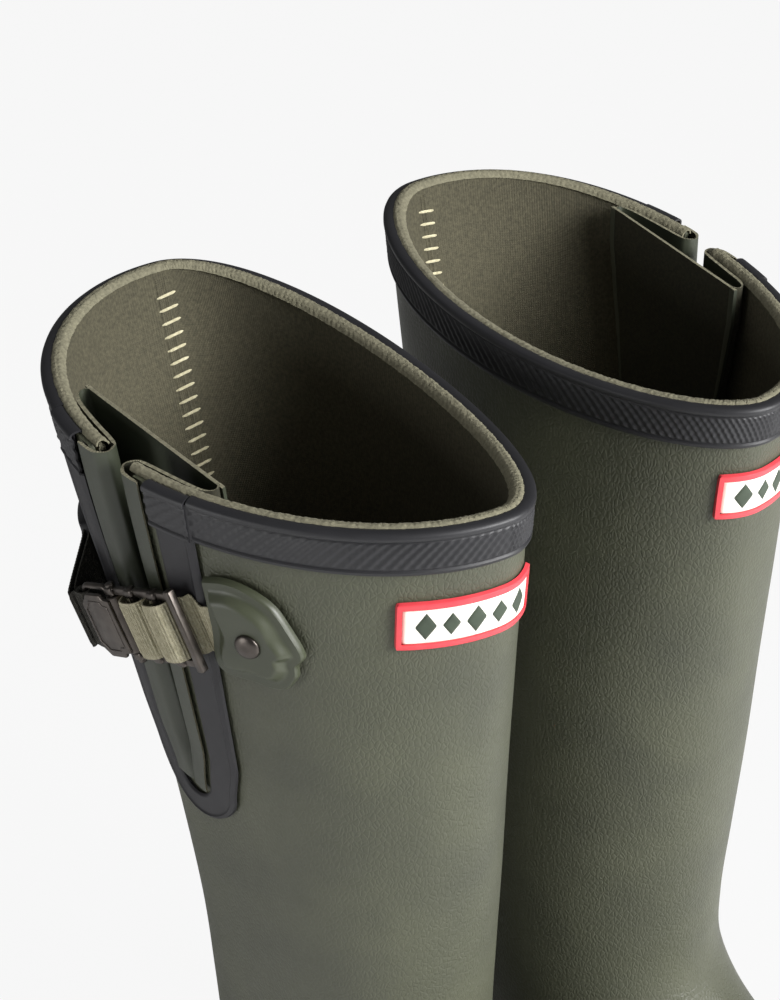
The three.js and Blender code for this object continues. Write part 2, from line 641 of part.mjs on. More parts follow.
// The rear strap: a dark loop round the ring's rear bar, laid back to the anchor on the rear panel.
const ANCHOR_FRONT = -47; // forwards of the buckle's middle
const ANCHOR_LENGTH = 31;
const ANCHOR_HEIGHT = 27;
const ANCHOR = 2.6;
function rearStrap() {
  const bore = RING_WIRE / 2 + GAP;
  const back = RING_REAR - bore - WEBBING - 1;
  const turn = (r) => arc(r, RING_REAR, RING_LEVEL, steps(-90, 90, 5));
  const ends = [[back, RING_LEVEL + WEBBING], [back, RING_LEVEL - WEBBING]];
  const loop = solid(across([...turn(bore + WEBBING), ...ends], WEBBING_WIDTH));
  const slot = solid(across([[back + 1.4, RING_LEVEL], ...turn(bore)], WEBBING_WIDTH + 2));
  const ws = [WEBBING_WIDTH / 2, 0, -WEBBING_WIDTH / 2];
  const skinAt = (side) => (j, i) =>
    i === 0
      ? onStrap(ANCHOR_FRONT + GAP, ws[j], STRAP_START + ANCHOR / 2 + side)
      : new THREE.Vector3(back + 0.7, ws[j], RING_LEVEL + side).applyMatrix4(buckleAxes);
  const half = WEBBING - 0.1;
  const laid = sheet({ rows: ws.length, columns: 2, outer: skinAt(half), inner: skinAt(-half) });
  return shape(join(placed(shape(loop.subtract(slot)), buckleAxes), laid));
}

const ANCHOR_RIVETS = [-ANCHOR_LENGTH * 0.3, -ANCHOR_LENGTH * 0.72];
const anchorAxes = ANCHOR_RIVETS.map((d) => strapAxes(ANCHOR_FRONT + d, 0, 0));

function rearAnchor() {
  const us = steps(0, ANCHOR_LENGTH, 5).map((d) => ANCHOR_FRONT - d).reverse();
  const ws = [ANCHOR_HEIGHT / 2, 0, -ANCHOR_HEIGHT / 2];
  const body = strapPatch(us, () => ws, STRAP_START, () => STRAP_START + ANCHOR);
  return shape(cut(solid(body), ...anchorAxes.map(rivetHole)));
}

// ---------------------------------------------------------------- the label
function labelGrid(margin) {
  const row = rowBelowRim(0, LABEL_DROP);
  const pitch = surface(0, 1).distanceTo(surface(0, 3)) / 2;
  const half = LABEL_WIDTH / 2 - margin;
  const turns = steps(-half, half, 8).map((d) => forwards(0, row, -d - LABEL_SHIFT));
  const tall = (LABEL_HEIGHT / 2 - margin) / pitch;
  return { turns, rows: [row - tall, row, row + tall] };
}

function labelFace() {
  const { turns, rows } = labelGrid(LABEL_BORDER + GAP);
  return patch(turns, rows, BOND, LABEL);
}

function labelBorder() {
  const { turns, rows } = labelGrid(0);
  const body = solid(patch(turns, rows, BOND, LABEL + 0.3));
  const window = labelGrid(LABEL_BORDER);
  return shape(body.subtract(solid(patch(window.turns, window.rows, BOND - 2, LABEL + 6))));
}

// ---------------------------------------------------------------- the foot
const aboutColumn = (middle, reach) => whole(middle - reach, middle + reach);
const toeCap = () => layer(aboutColumn(TOE_COLUMN, 3), whole(TOE_ROW, FOXING_ROW), GAP, TRIM);
const heelPatch = () => layer(aboutColumn(HEEL_COLUMN, 3), whole(HEEL_ROW, FOXING_ROW), GAP, TRIM);

function backStrip() {
  const reach = 0.55;
  const columns = [HEEL_COLUMN - reach, HEEL_COLUMN, HEEL_COLUMN + reach];
  const rows = [BAND_ROW + EDGE_GAP, ...whole(BAND_ROW + 1, HEEL_ROW - 1), HEEL_ROW - EDGE_GAP];
  return layer(columns, rows, GAP, PATCH);
}

const FOXING_OUT = GAP + TRIM + 0.6;
function foxing() {
  const low = { in: soleRing(-GAP, GAP), out: soleRing(-FOXING_OUT, GAP) };
  const rows = [FOXING_ROW + 2 * EDGE_GAP, LAST_ROW - 1];
  const skin = (off, last) => (j, i) => (j < rows.length ? onGrid(i, rows[j], off) : last[i].clone());
  return sheet({
    rows: rows.length + 1,
    columns: COUNT,
    wraps: true,
    outer: skin(FOXING_OUT, low.out),
    inner: skin(GAP, low.in),
  });
}

// The ledge behind the heel that the other foot treads on.
function heelSpur() {
  const columns = aboutColumn(HEEL_COLUMN, 2);
  const rows = [LAST_ROW - 0.85, LAST_ROW - 0.6, LAST_ROW - 0.25];
  const start = FOXING_OUT + GAP;
  const out = [1.6, 4.6, 2.4];
  const ends = (i) => (i === 0 || i === columns.length - 1 ? 0.4 : 1);
  return sheet({
    rows: rows.length,
    columns: columns.length,
    outer: (j, i) => onGrid(columns[i], rows[j], start + out[j] * ends(i)),
    inner: (j, i) => onGrid(columns[i], rows[j], start),
  });
}

const lowered = (ring, drop) => ring.map((p) => new THREE.Vector3(p.x, p.y, p.z - drop));
const levelled = (ring, z) => ring.map((p) => new THREE.Vector3(p.x, p.y, z));

const LUG = [24, 8]; // across and along the foot
const LUG_PITCH = 17;
const LUG_SLANT = 24;
const LUG_ROWS = [14, 41]; // from the middle line to the middle of each lug
const HEEL_GROOVES = [-28, -50];
const GROOVE = [4, 4];

function outsole() {
  const top = soleRing(-SOLE_EDGE, -GAP);
  const under = lowered(top, SOLE_PLATE);
  const plate = solid(prism(top, under));
  const yBack = SOLE_LINE.back[0] - 2 * SOLE_EDGE;
  const yFront = SOLE_LINE.front[0] + 2 * SOLE_EDGE;
  const tall = 3 * SOLE_LINE.back[1];
  const half = (from, to) => solid(box(400, to - from, tall, 0, (from + to) / 2, tall / 2));
  const core = soleRing(-SOLE_EDGE + 0.6, -GAP);
  const heel = solid(prism(lowered(core, SOLE_PLATE / 2), levelled(core, 0)));
  const tread = solid(prism(lowered(core, SOLE_PLATE / 2), lowered(core, SOLE_PLATE + LUG_DEPTH)));
  const lugs = [];
  for (let y = HEEL_BREAST + 48; y < yFront - LUG[0] / 2; y += LUG_PITCH)
    for (const side of [-1, 1])
      for (const out of LUG_ROWS) {
        const lug = new THREE.BoxGeometry(...LUG, tall).rotateZ(radians(side * LUG_SLANT));
        lugs.push(lug.translate(side * out, y, tall / 2));
      }
  const grooves = HEEL_GROOVES.map((y) => box(400, GROOVE[0], 2 * GROOVE[1], 0, y, 0));
  const heelBlock = cut(heel.intersect(half(yBack, HEEL_BREAST)), ...grooves);
  return shape(plate.add(heelBlock).add(join(...lugs).intersect(tread).intersect(half(yBack, yFront))));
}

const SHANK = { width: 13, back: -45, front: 62, thickness: 1.2 };
// A strip of the insole board's underside, where the steel shank lies.
function shank(margin) {
  const ring = soleRing(0, GAP - margin);
  const middles = [...Array(COUNT / 2).keys()]
    .map((k) => ring[(HEEL_COLUMN + k) % COUNT].clone().lerp(ring[(HEEL_COLUMN - k + COUNT) % COUNT], 0.5))
    .filter((p) => p.y > SHANK.back && p.y < SHANK.front);
  const end = (p, by) => p.clone().setY(p.y + by);
  const [first, last] = [middles[0], middles[middles.length - 1]];
  const line = [end(first, -margin), ...middles.slice(1, -1), end(last, margin)];
  const half = SHANK.width / 2 + margin;
  const at = (rise) => (j, i) => line[j].clone().add(new THREE.Vector3(i ? half : -half, 0, rise));
  return sheet({ rows: line.length, columns: 2, outer: at(SHANK.thickness + 2 * margin), inner: at(0) });
}

function insoleBoard() {
  const board = solid(prism(soleRing(LINING_OUT, BOARD_TOP), soleRing(LINING_OUT, GAP)));
  return shape(board.subtract(solid(shank(GAP))));
}

function footbed() {
  const inset = LINING_IN + 2 * GAP;
  return prism(soleRing(inset, FOOTBED_BOTTOM + FOOTBED), soleRing(inset, FOOTBED_BOTTOM));
}

// ---------------------------------------------------------------- one boot
function boot(side) {
  const group = new THREE.Group();
  const add = (name, g, material, axes) => {
    const mesh = new THREE.Mesh(axes ? placed(g, axes) : g, material);
    mesh.name = `${side}_${name}`;
    group.add(mesh);
  };
  add("upper_shell", upperShell(), RUBBER_OLIVE);
  add("lining", lining(), LINING);
  add("top_band", topBand(), RUBBER_BLACK);
  add("band_end_front", bandEnd(COUNT - 2, COUNT - 1), RUBBER_BLACK);
  add("band_end_rear", bandEnd(0, 1), RUBBER_BLACK);
  add("gusset", gusset(), RUBBER_SMOOTH);
  add("gusset_surround", surround(), RUBBER_SMOOTH);
  add("front_tab", frontTab(), RUBBER_OLIVE);
  add("tab_rivet", rivet(TAB_TOP), GUNMETAL, rivetAxes);
  add("webbing_stub", webbingStub(), WEBBING_OLIVE);
  add("webbing_weave", webbingWeave(), WEBBING_OLIVE, buckleAxes);
  add("buckle_frame", buckleFrame(), GUNMETAL, buckleAxes);
  add("hook_plate", hookPlate(), GUNMETAL, buckleAxes);
  add("strap_ring", strapRing(), GUNMETAL, buckleAxes);
  add("rear_strap", rearStrap(), WEBBING_DARK);
  add("rear_anchor", rearAnchor(), RUBBER_BLACK);
  ANCHOR_RIVETS.forEach((_, k) => {
    add(`anchor_rivet_${k + 1}`, rivet(STRAP_START + ANCHOR), GUNMETAL, anchorAxes[k]);
  });
  add("label_border", labelBorder(), LABEL_RED);
  add("label_face", labelFace(), LABEL_CREAM);
  add("toe_cap", toeCap(), RUBBER_OLIVE);
  add("heel_patch", heelPatch(), RUBBER_OLIVE);
  add("back_strip", backStrip(), RUBBER_OLIVE);
  add("foxing", foxing(), RUBBER_BLACK);
  add("heel_spur", heelSpur(), RUBBER_BLACK);
  add("outsole", outsole(), SOLE_RUBBER);
  add("insole_board", insoleBoard(), FIBRE);
  add("shank", shank(0), STEEL);
  add("footbed", footbed(), FOAM);
  return group;
}

const pair = new THREE.Group();
const right = boot("right");
right.rotation.z = radians(-TOE_OUT);
right.position.x = BOOT_SPACING / 2;
const left = boot("left");
left.rotation.z = radians(TOE_OUT);
left.position.x = -BOOT_SPACING / 2;
left.scale.x = -1;
pair.add(right, left);

// The origin is on the ground, at the middle of the pair.
const middle = new THREE.Box3().setFromObject(pair, true).getCenter(new THREE.Vector3());
right.position.y = -middle.y;
left.position.y = -middle.y;

export default pair;
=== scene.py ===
"""Looks of a pair of insulated rubber boots: grained rubber legs on a knitted neoprene lining, a knurled
band round each rim, a bellows gusset on each outer side, and a webbing strap with a ladder buckle.
Lengths are in millimetres until they reach a mesh, and then in metres. The right boot is modelled, and
the left is its mirror image."""

import json
import math

import bpy
import numpy as np
from mathutils import Matrix, Vector

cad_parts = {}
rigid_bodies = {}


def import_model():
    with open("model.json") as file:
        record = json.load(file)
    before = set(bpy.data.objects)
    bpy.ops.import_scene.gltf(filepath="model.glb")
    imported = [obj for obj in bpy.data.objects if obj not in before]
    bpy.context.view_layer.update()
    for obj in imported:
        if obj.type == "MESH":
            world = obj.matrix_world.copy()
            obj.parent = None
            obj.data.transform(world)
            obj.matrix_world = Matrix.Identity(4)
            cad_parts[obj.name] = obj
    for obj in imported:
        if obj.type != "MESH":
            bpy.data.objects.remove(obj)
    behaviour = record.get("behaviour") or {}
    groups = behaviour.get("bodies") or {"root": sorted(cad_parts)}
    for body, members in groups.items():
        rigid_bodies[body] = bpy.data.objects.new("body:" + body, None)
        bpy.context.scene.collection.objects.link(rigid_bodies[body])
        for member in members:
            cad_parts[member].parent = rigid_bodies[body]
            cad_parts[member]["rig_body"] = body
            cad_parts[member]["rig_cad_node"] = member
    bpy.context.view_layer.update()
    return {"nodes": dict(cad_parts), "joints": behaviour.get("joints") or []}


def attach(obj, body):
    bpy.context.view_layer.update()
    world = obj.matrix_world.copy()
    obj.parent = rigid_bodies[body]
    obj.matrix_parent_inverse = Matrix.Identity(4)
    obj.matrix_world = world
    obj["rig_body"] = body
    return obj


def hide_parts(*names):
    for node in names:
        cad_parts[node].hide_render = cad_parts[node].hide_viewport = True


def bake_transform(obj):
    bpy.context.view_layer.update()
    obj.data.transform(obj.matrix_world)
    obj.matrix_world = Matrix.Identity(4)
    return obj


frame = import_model()

MM = 0.001
SIDES = ("right", "left")

# ---- the boot's wall
BOOT_SPACING = 110
TOE_OUT = math.radians(4)
PAIR_SHIFT = -64.06  # along y, so that the origin is at the middle of the pair
# In order: y and z of the back, y and z of the front, half width, bulge outwards, how much wider it is
# behind, how far its back swings outwards, how far its sides dip, and its share of the sole's outline.
STATIONS = np.array(
    [
        [-102, 407, 74, 393.3, 54, 16, 0.13, 7, 6.4, 0],
        [-99, 394, 73.2, 380.3, 53.6, 15, 0.13, 6.6, 6.4, 0],
        [-94, 374, 71.8, 361.5, 53, 13, 0.12, 6, 6, 0],
        [-88.5, 353, 70.5, 342.5, 52, 11, 0.11, 5, 5, 0],
        [-82, 327, 69, 319, 50.8, 9, 0.09, 4, 4, 0],
        [-77, 303, 67.5, 298, 49.7, 7, 0.07, 3, 3, 0],
        [-72.5, 279, 66.2, 277, 48.5, 5, 0.05, 2, 2, 0],
        [-65.5, 241, 64.5, 242, 46.8, 3, 0.03, 1, 1, 0],
        [-60, 203, 62, 206, 45.5, 1, 0.02, 0, 0, 0],
        [-57, 168, 60.5, 172, 44.3, 0, 0.02, 0, 0, 0],
        [-55.5, 138, 63, 146, 43.5, 0, 0, 0, 0, 0],
        [-57, 112, 78, 126, 43, 0, 0, 0, 0, 0.1],
        [-61, 91, 104, 110, 43, 0, 0, 0, 0, 0.3],
        [-66, 74, 135, 97, 44, 0, 0, 0, 0, 0.5],
        [-70, 60, 165, 84, 46.5, 0, 0, 0, 0, 0.7],
        [-72, 50, 192, 71, 49, 0, 0, 0, 0, 0.85],
        [-72, 42, 212, 57, 51, 0, 0, 0, 0, 0.95],
        [-71, 35, 224, 42, 52, 0, 0, 0, 0, 1],
        [-69, 28, 229, 21, 52, 0, 0, 0, 0, 1],
    ]
)
LAST_ROW = len(STATIONS) - 1
OUTSIDE = np.array([[-1, 0.8], [-0.6, 0.8], [-0.2, 0.76], [0.2, 0.92], [0.5, 1.07], [0.8, 1.1], [1, 1.05]])
INSIDE = np.array([[-1, 0.8], [-0.6, 0.78], [-0.2, 0.66], [0.2, 0.8], [0.5, 1.0], [0.8, 1.14], [1, 1.15]])
SOLE_ROUNDNESS = 2.5
BALL = 0.35
BALL_DROP = 28 + (21 - 28) * (1 + BALL) / 2 - 11.8

SLOT_FRONT = 85
SLOT_REAR = 98.5
SLOT_TAPER = 3
SLOT_ROW = 6
FLAP_TURN = 14
WRAP = 4.5  # degrees that the gusset laps over the panel before the flap begins
SURROUND_FOOT = 0.32
GAP = 0.3
FLAP = 1.2
FLAP_OUT = GAP + FLAP
RUBBER = 2
NEOPRENE = 3
PANEL = RUBBER + GAP + NEOPRENE


def smooth(x, low, high):
    t = np.clip((x - low) / (high - low), 0, 1)
    return t * t * (3 - 2 * t)


def through(p0, p1, p2, p3, t):
    """A Catmull-Rom curve from p1 to p2."""
    square, cube = 2 * p0 - 5 * p1 + 4 * p2 - p3, 3 * p1 - p0 - 3 * p2 + p3
    return 0.5 * (2 * p1 + (p2 - p0) * t + square * t**2 + cube * t**3)


def station(row):
    """The stations' values at fractions of a row, on a smooth curve through them."""
    row = np.clip(row, 0, LAST_ROW)
    j = np.minimum(row.astype(int), LAST_ROW - 1)
    t = (row - j)[..., None]
    p0, p1, p2, p3 = (STATIONS[np.clip(j + k, 0, LAST_ROW)] for k in (-1, 0, 1, 2))
    return through(p0, p1, p2, p3, t)


def shares(table, c):
    i = np.clip(np.searchsorted(table[:, 0], c, side="right") - 1, 0, len(table) - 2)
    low, high = table[i], table[i + 1]
    return low[..., 1] + (high[..., 1] - low[..., 1]) * smooth(c, low[..., 0], high[..., 0])


def surface(turn, row):
    """Points of the outer wall: turn in degrees from the toe to the outer side, row down the stations."""
    turn, row = np.broadcast_arrays(np.asarray(turn, float), np.asarray(row, float))
    y_back, z_back, y_front, z_front, half, bulge, egg, skew, dip, foot = np.moveaxis(station(row), -1, 0)
    c, s = np.cos(np.radians(turn)), np.sin(np.radians(turn))
    end = np.maximum(0, 1 - np.abs(c) ** SOLE_ROUNDNESS) ** (1 / SOLE_ROUNDNESS)
    sole = np.sign(s) * end * np.where(s > 0, shares(OUTSIDE, c), shares(INSIDE, c))
    foot = np.clip(foot, 0, 1)
    x = (half + bulge * np.sign(s)) * (s * (1 - egg * c) * (1 - foot) + sole * foot) - skew * c
    y = y_back + (y_front - y_back) * (1 + c) / 2
    sag = BALL_DROP * foot**8 * np.exp(-(((c - BALL) / 0.4) ** 2))
    z = z_back + (z_front - z_back) * (1 + c) / 2 - sag - dip * s * s
    return np.stack([x, y, z], -1)


def unit(v):
    return v / np.maximum(np.linalg.norm(v, axis=-1, keepdims=True), 1e-9)


def outwards(turn, row):
    row = np.clip(np.asarray(row, float), 0.06, LAST_ROW - 0.06)
    around = surface(np.asarray(turn) + 2.5, row) - surface(np.asarray(turn) - 2.5, row)
    down = surface(turn, row + 0.06) - surface(turn, row - 0.06)
    return unit(np.cross(around, down))


def wall(turn, row, off):
    return surface(turn, row) + outwards(turn, row) * np.asarray(off, float)[..., None]


def forwards(turn, row, ahead):
    """The turn that lies a distance ahead of another along one row."""
    turns = np.arange(-200.0, 620.0, 0.5)
    line = surface(turns, row)
    run = np.concatenate([[0], np.cumsum(np.linalg.norm(np.diff(line, axis=0), axis=1))])
    return np.interp(np.interp(turn, turns, run) - ahead, run, turns)


def row_below(turn, drop):
    """The row that lies a distance below the rim."""
    rows = np.linspace(0, 12, 481)
    turn, drop = np.broadcast_arrays(np.asarray(turn, float), np.asarray(drop, float))
    far = np.linalg.norm(surface(turn[..., None], rows) - surface(turn, 0)[..., None, :], axis=-1)
    k = np.clip((far < drop[..., None]).sum(-1), 1, len(rows) - 1)
    a, b = (np.take_along_axis(far, i[..., None], -1)[..., 0] for i in (k - 1, k))
    return rows[k - 1] + (rows[1] - rows[0]) * (drop - a) / (b - a)


def in_row(points):
    """From the right boot's own axes to the pair's, both in millimetres."""
    x, y, z = np.moveaxis(np.asarray(points, float), -1, 0)
    c, s = math.cos(TOE_OUT), math.sin(TOE_OUT)
    return np.stack([c * x + s * y + BOOT_SPACING / 2, c * y - s * x + PAIR_SHIFT, z], -1)


def bend_through(points, t):
    """A smooth curve through points (first axis), at shares t of its length in points."""
    points = np.asarray(points, float)
    at = np.clip(t, 0, 1) * (len(points) - 1)
    j = np.minimum(at.astype(int), len(points) - 2)
    f = (at - j).reshape(at.shape + (1,) * (points.ndim - 1))
    p0, p1, p2, p3 = (points[np.clip(j + k, 0, len(points) - 1)] for k in (-1, 0, 1, 2))
    return through(p0, p1, p2, p3, f)


# ---- the strap's and the buckle's axes
BUCKLE_MIDDLE = 1.5
STRAP_DROP = 48
STRAP_TILT = math.radians(12)
STRAP_START = FLAP_OUT + GAP
STRAP_ROW = float(row_below(SLOT_FRONT, STRAP_DROP))
WEBBING_WIDTH = 19.5
WEBBING = 1.4


def on_strap(u, w, off):
    """Points of the wall by the strap's own u, forwards along it, and w, up across it."""
    u, w = np.broadcast_arrays(np.asarray(u, float), np.asarray(w, float))
    ahead = BUCKLE_MIDDLE + u * math.cos(STRAP_TILT) - w * math.sin(STRAP_TILT)
    turn = forwards(SLOT_FRONT, STRAP_ROW, ahead)
    drop = STRAP_DROP - u * math.sin(STRAP_TILT) - w * math.cos(STRAP_TILT)
    return in_row(wall(turn, row_below(turn, drop), off))


def strap_axes(u):
    """Origin and axes (u, w, n) of a round piece that is set into the strap's line."""
    origin = on_strap(u, 0, 0)
    along = unit(on_strap(u + 4, 0, 0) - on_strap(u - 4, 0, 0))
    n = unit(np.cross(along, on_strap(u, 4, 0) - on_strap(u, -4, 0)))
    return origin, np.array([along, np.cross(n, along), n])


joints = {j["name"]: j for j in frame["joints"]}
SWING = np.array(joints["right_buckle_swing"]["pos_m"]) / MM
HOOK = np.array(joints["right_hook_flip"]["pos_m"]) / MM
HINGE = (17.376, -4.738)  # where the strap bends, in the buckle's u and n
HOOK_BAR = -15.1
ACROSS = unit(np.array(joints["right_buckle_swing"]["axis"]))
_line = unit(SWING - HOOK)
_side = np.cross(_line, ACROSS)
_lean = math.atan2(HINGE[1], HINGE[0] - HOOK_BAR)
ALONG = math.cos(_lean) * _line - math.sin(_lean) * _side
OUT = math.sin(_lean) * _line + math.cos(_lean) * _side


def in_buckle(u, w, n):
    u, w, n = (np.asarray(v, float)[..., None] for v in np.broadcast_arrays(u, w, n))
    return HOOK + (u - HOOK_BAR) * ALONG + w * ACROSS + n * OUT


# ---- modelling
def only(piece):
    bpy.ops.object.select_all(action="DESELECT")
    piece.select_set(True)
    bpy.context.view_layer.objects.active = piece


def points_of(piece):
    flat = np.zeros(len(piece.data.vertices) * 3)
    piece.data.vertices.foreach_get("co", flat)
    return flat.reshape(-1, 3)


def set_points(piece, points):
    piece.data.vertices.foreach_set("co", np.ascontiguousarray(points, float).ravel())
    piece.data.update()


def shade(piece, angle=40):
    only(piece)
    bpy.ops.object.shade_smooth_by_angle(angle=math.radians(angle))


def apply(piece, kind, **settings):
    only(piece)
    modifier = piece.modifiers.new(kind.lower(), kind)
    for key, value in settings.items():
        setattr(modifier, key, value)
    bpy.ops.object.modifier_apply(modifier=modifier.name)


def edit(*steps, selected="SELECT"):
    """Runs mesh operators on the active piece, with all of it or nothing selected at first."""
    bpy.ops.object.mode_set(mode="EDIT")
    bpy.ops.mesh.select_all(action=selected)
    for step in steps:
        step()
    bpy.ops.object.mode_set(mode="OBJECT")


def merge(distance):
    edit(lambda: bpy.ops.mesh.remove_doubles(threshold=distance))


def face_outwards():
    edit(lambda: bpy.ops.mesh.normals_make_consistent(inside=False))


def laid(
    name, across, down, place, size, thickness=0, gone=None, flip=False, close=False, skins=(0, 0), even=True
):
    """A grid laid over a surface. place gives millimetre points for shares s across and t down, size is its
    rough size for the pattern's coordinates, and gone says which faces are cut away. skins are the material
    slots of the wall's inner face and of its rim."""
    bpy.ops.object.select_all(action="DESELECT")
    bpy.ops.mesh.primitive_grid_add(x_subdivisions=across, y_subdivisions=down, size=2)
    piece = bpy.context.object
    piece.name = name
    uv = piece.data.uv_layers.active.data
    flat = np.zeros(len(uv) * 2)
    uv.foreach_get("uv", flat)
    uv.foreach_set("uv", (flat.reshape(-1, 2) * np.array(size) * MM).ravel())
    if gone is not None:
        centres = np.zeros(len(piece.data.polygons) * 3)
        piece.data.polygons.foreach_get("center", centres)
        centres = centres.reshape(-1, 3)
        marked = gone((centres[:, 0] + 1) / 2, (1 - centres[:, 1]) / 2)
        edit(selected="DESELECT")
        piece.data.polygons.foreach_set("select", marked)
        bpy.ops.object.mode_set(mode="EDIT")
        bpy.ops.mesh.delete(type="FACE")
        bpy.ops.object.mode_set(mode="OBJECT")
    flat_points = points_of(piece)
    set_points(piece, place((flat_points[:, 0] + 1) / 2, (1 - flat_points[:, 1]) / 2) * MM)
    if flip:
        piece.data.flip_normals()
    if close:
        merge(1e-5)
    if thickness:
        for _ in range(max(skins) + 1):
            piece.data.materials.append(None)
        kind = {"use_even_offset": even, "material_offset": skins[0], "material_offset_rim": skins[1]}
        apply(piece, "SOLIDIFY", thickness=thickness * MM, offset=-1, thickness_clamp=0.5, **kind)
    shade(piece)
    return piece


def tube(name, path, radius, sides=12, closed=False, widths=None):
    """A round wire along a path of millimetre points."""
    path = np.asarray(path, float)
    ring = np.concatenate([path, path[:1]]) if closed else path
    ahead = np.gradient(ring, axis=0)
    if closed:
        ahead[0] = ahead[-1] = ring[1] - ring[-2]
    ahead = unit(ahead)
    away = OUT if abs(ahead @ OUT).max() < 0.95 else ACROSS
    one = unit(np.cross(ahead, away))
    two = np.cross(ahead, one)
    count = len(ring)

    def place(s, t):
        k = np.rint(t * (count - 1)).astype(int)
        a = s * 2 * math.pi
        r = radius * (1 if widths is None else np.asarray(widths)[k][:, None])
        return ring[k] + r * (np.cos(a)[:, None] * one[k] + np.sin(a)[:, None] * two[k])

    piece = laid(name, sides, count - 1, place, (1, 1), close=True)
    if not closed:
        edit(bpy.ops.mesh.select_non_manifold, bpy.ops.mesh.fill, selected="DESELECT")
    face_outwards()
    return piece


def turned(name, profile, origin, axes, sides=40):
    """A shape turned about the third of its axes, from a profile of radius and height."""
    profile = np.asarray(profile, float)

    def place(s, t):
        k = np.rint(t * (len(profile) - 1)).astype(int)
        a = s * 2 * math.pi
        r, h = profile[k].T
        spot = np.stack([r * np.cos(a), r * np.sin(a), h], -1)
        return origin + spot @ axes

    piece = laid(name, sides, len(profile) - 1, place, (1, 1), close=True)
    face_outwards()
    return piece


def block(name, size, centre, bevel):
    """A bevelled bar or plate in the buckle's axes."""
    bpy.ops.object.select_all(action="DESELECT")
    bpy.ops.mesh.primitive_cube_add(size=1)
    piece = bpy.context.object
    piece.name = name
    set_points(piece, points_of(piece) * np.array(size) * MM)
    apply(piece, "BEVEL", width=bevel * MM, segments=3, limit_method="NONE")
    u, w, n = (points_of(piece) / MM + np.array(centre)).T
    set_points(piece, in_buckle(u, w, n) * MM)
    shade(piece)
    return piece


def rod(name, radius, length, u, n):
    """A round bar across the buckle."""
    half, bevel = length / 2, 0.3
    profile = [[0, -half], [radius - bevel, -half], [radius, bevel - half]]
    profile += [[radius, half - bevel], [radius - bevel, half], [0, half]]
    return turned(name, profile, in_buckle(u, 0, n), np.array([OUT, ALONG, ACROSS]), 28)


def joined(name, *pieces):
    bpy.ops.object.select_all(action="DESELECT")
    for piece in pieces:
        piece.select_set(True)
    bpy.context.view_layer.objects.active = pieces[0]
    bpy.ops.object.join()
    pieces[0].name = name
    return pieces[0]


# ---- materials
# Patterns, in repeats to the metre.
PEEL = 900.0  # a polished mould's orange peel, 1.1 mm across
CELLS = 680.0  # the embossed grain, 1.5 mm across
WAVER = 300.0  # the grain's lines wander every 3 mm
WARP = 0.0011  # by up to 1.1 mm
YARN = 900.0  # flecks of yarn, 1.1 mm across
FIBRES = 2200.0  # fluff, 0.45 mm across


def colour(code):
    parts = [int(code[i : i + 2], 16) / 255 for i in (1, 3, 5)]
    return [*(v / 12.92 if v <= 0.04045 else ((v + 0.055) / 1.055) ** 2.4 for v in parts), 1]


def add(tree, kind, sockets=(), **settings):
    """Adds a node. sockets maps its inputs to values or to other nodes' outputs."""
    made = tree.nodes.new(kind)
    for key, value in settings.items():
        setattr(made, key, value)
    for key, value in dict(sockets).items():
        if isinstance(value, bpy.types.NodeSocket):
            tree.links.new(value, made.inputs[key])
        else:
            made.inputs[key].default_value = value
    return made


def material(name, base, roughness, **sockets):
    """A new material, its node tree and its shader."""
    made = bpy.data.materials.new(name)
    made.use_nodes = True
    shader = made.node_tree.nodes["Principled BSDF"]
    shader.inputs["Base Color"].default_value = colour(base)
    shader.inputs["Roughness"].default_value = roughness
    for key, value in sockets.items():
        shader.inputs[key.replace("_", " ")].default_value = value
    return made, made.node_tree, shader


def mottled(name, dark, light, scale, roughness, **sockets):
    """A material whose two near colours are mixed by a soft noise, so that no large surface is one flat
    colour; also its node tree, its shader and its coordinates."""
    made, tree, shader = material(name, dark, roughness, **sockets)
    place = add(tree, "ShaderNodeTexCoord").outputs
    noise = add(tree, "ShaderNodeTexNoise", {"Vector": place["Object"], "Scale": scale, "Detail": 4.0})
    ramp = add(tree, "ShaderNodeValToRGB", {"Fac": noise.outputs["Fac"]})
    for stop, value in zip(ramp.color_ramp.elements, (dark, light)):
        stop.color = colour(value)
    ramp.color_ramp.elements[0].position = 0.32
    ramp.color_ramp.elements[1].position = 0.68
    tree.links.new(ramp.outputs["Color"], shader.inputs["Base Color"])
    return made, tree, shader, place


def roughen(tree, shader, low, high, scale, coordinates):
    noise = add(tree, "ShaderNodeTexNoise", {"Vector": coordinates, "Scale": scale, "Detail": 3.0})
    spread = add(tree, "ShaderNodeMapRange", {"Value": noise.outputs["Fac"], "To Min": low, "To Max": high})
    tree.links.new(spread.outputs["Result"], shader.inputs["Roughness"])


def relief(tree, shader, height, strength, distance, under=None):
    bump = add(tree, "ShaderNodeBump", {"Height": height, "Strength": strength, "Distance": distance})
    if under is not None:
        tree.links.new(under, bump.inputs["Normal"])
    tree.links.new(bump.outputs["Normal"], shader.inputs["Normal"])
    return bump.outputs["Normal"]


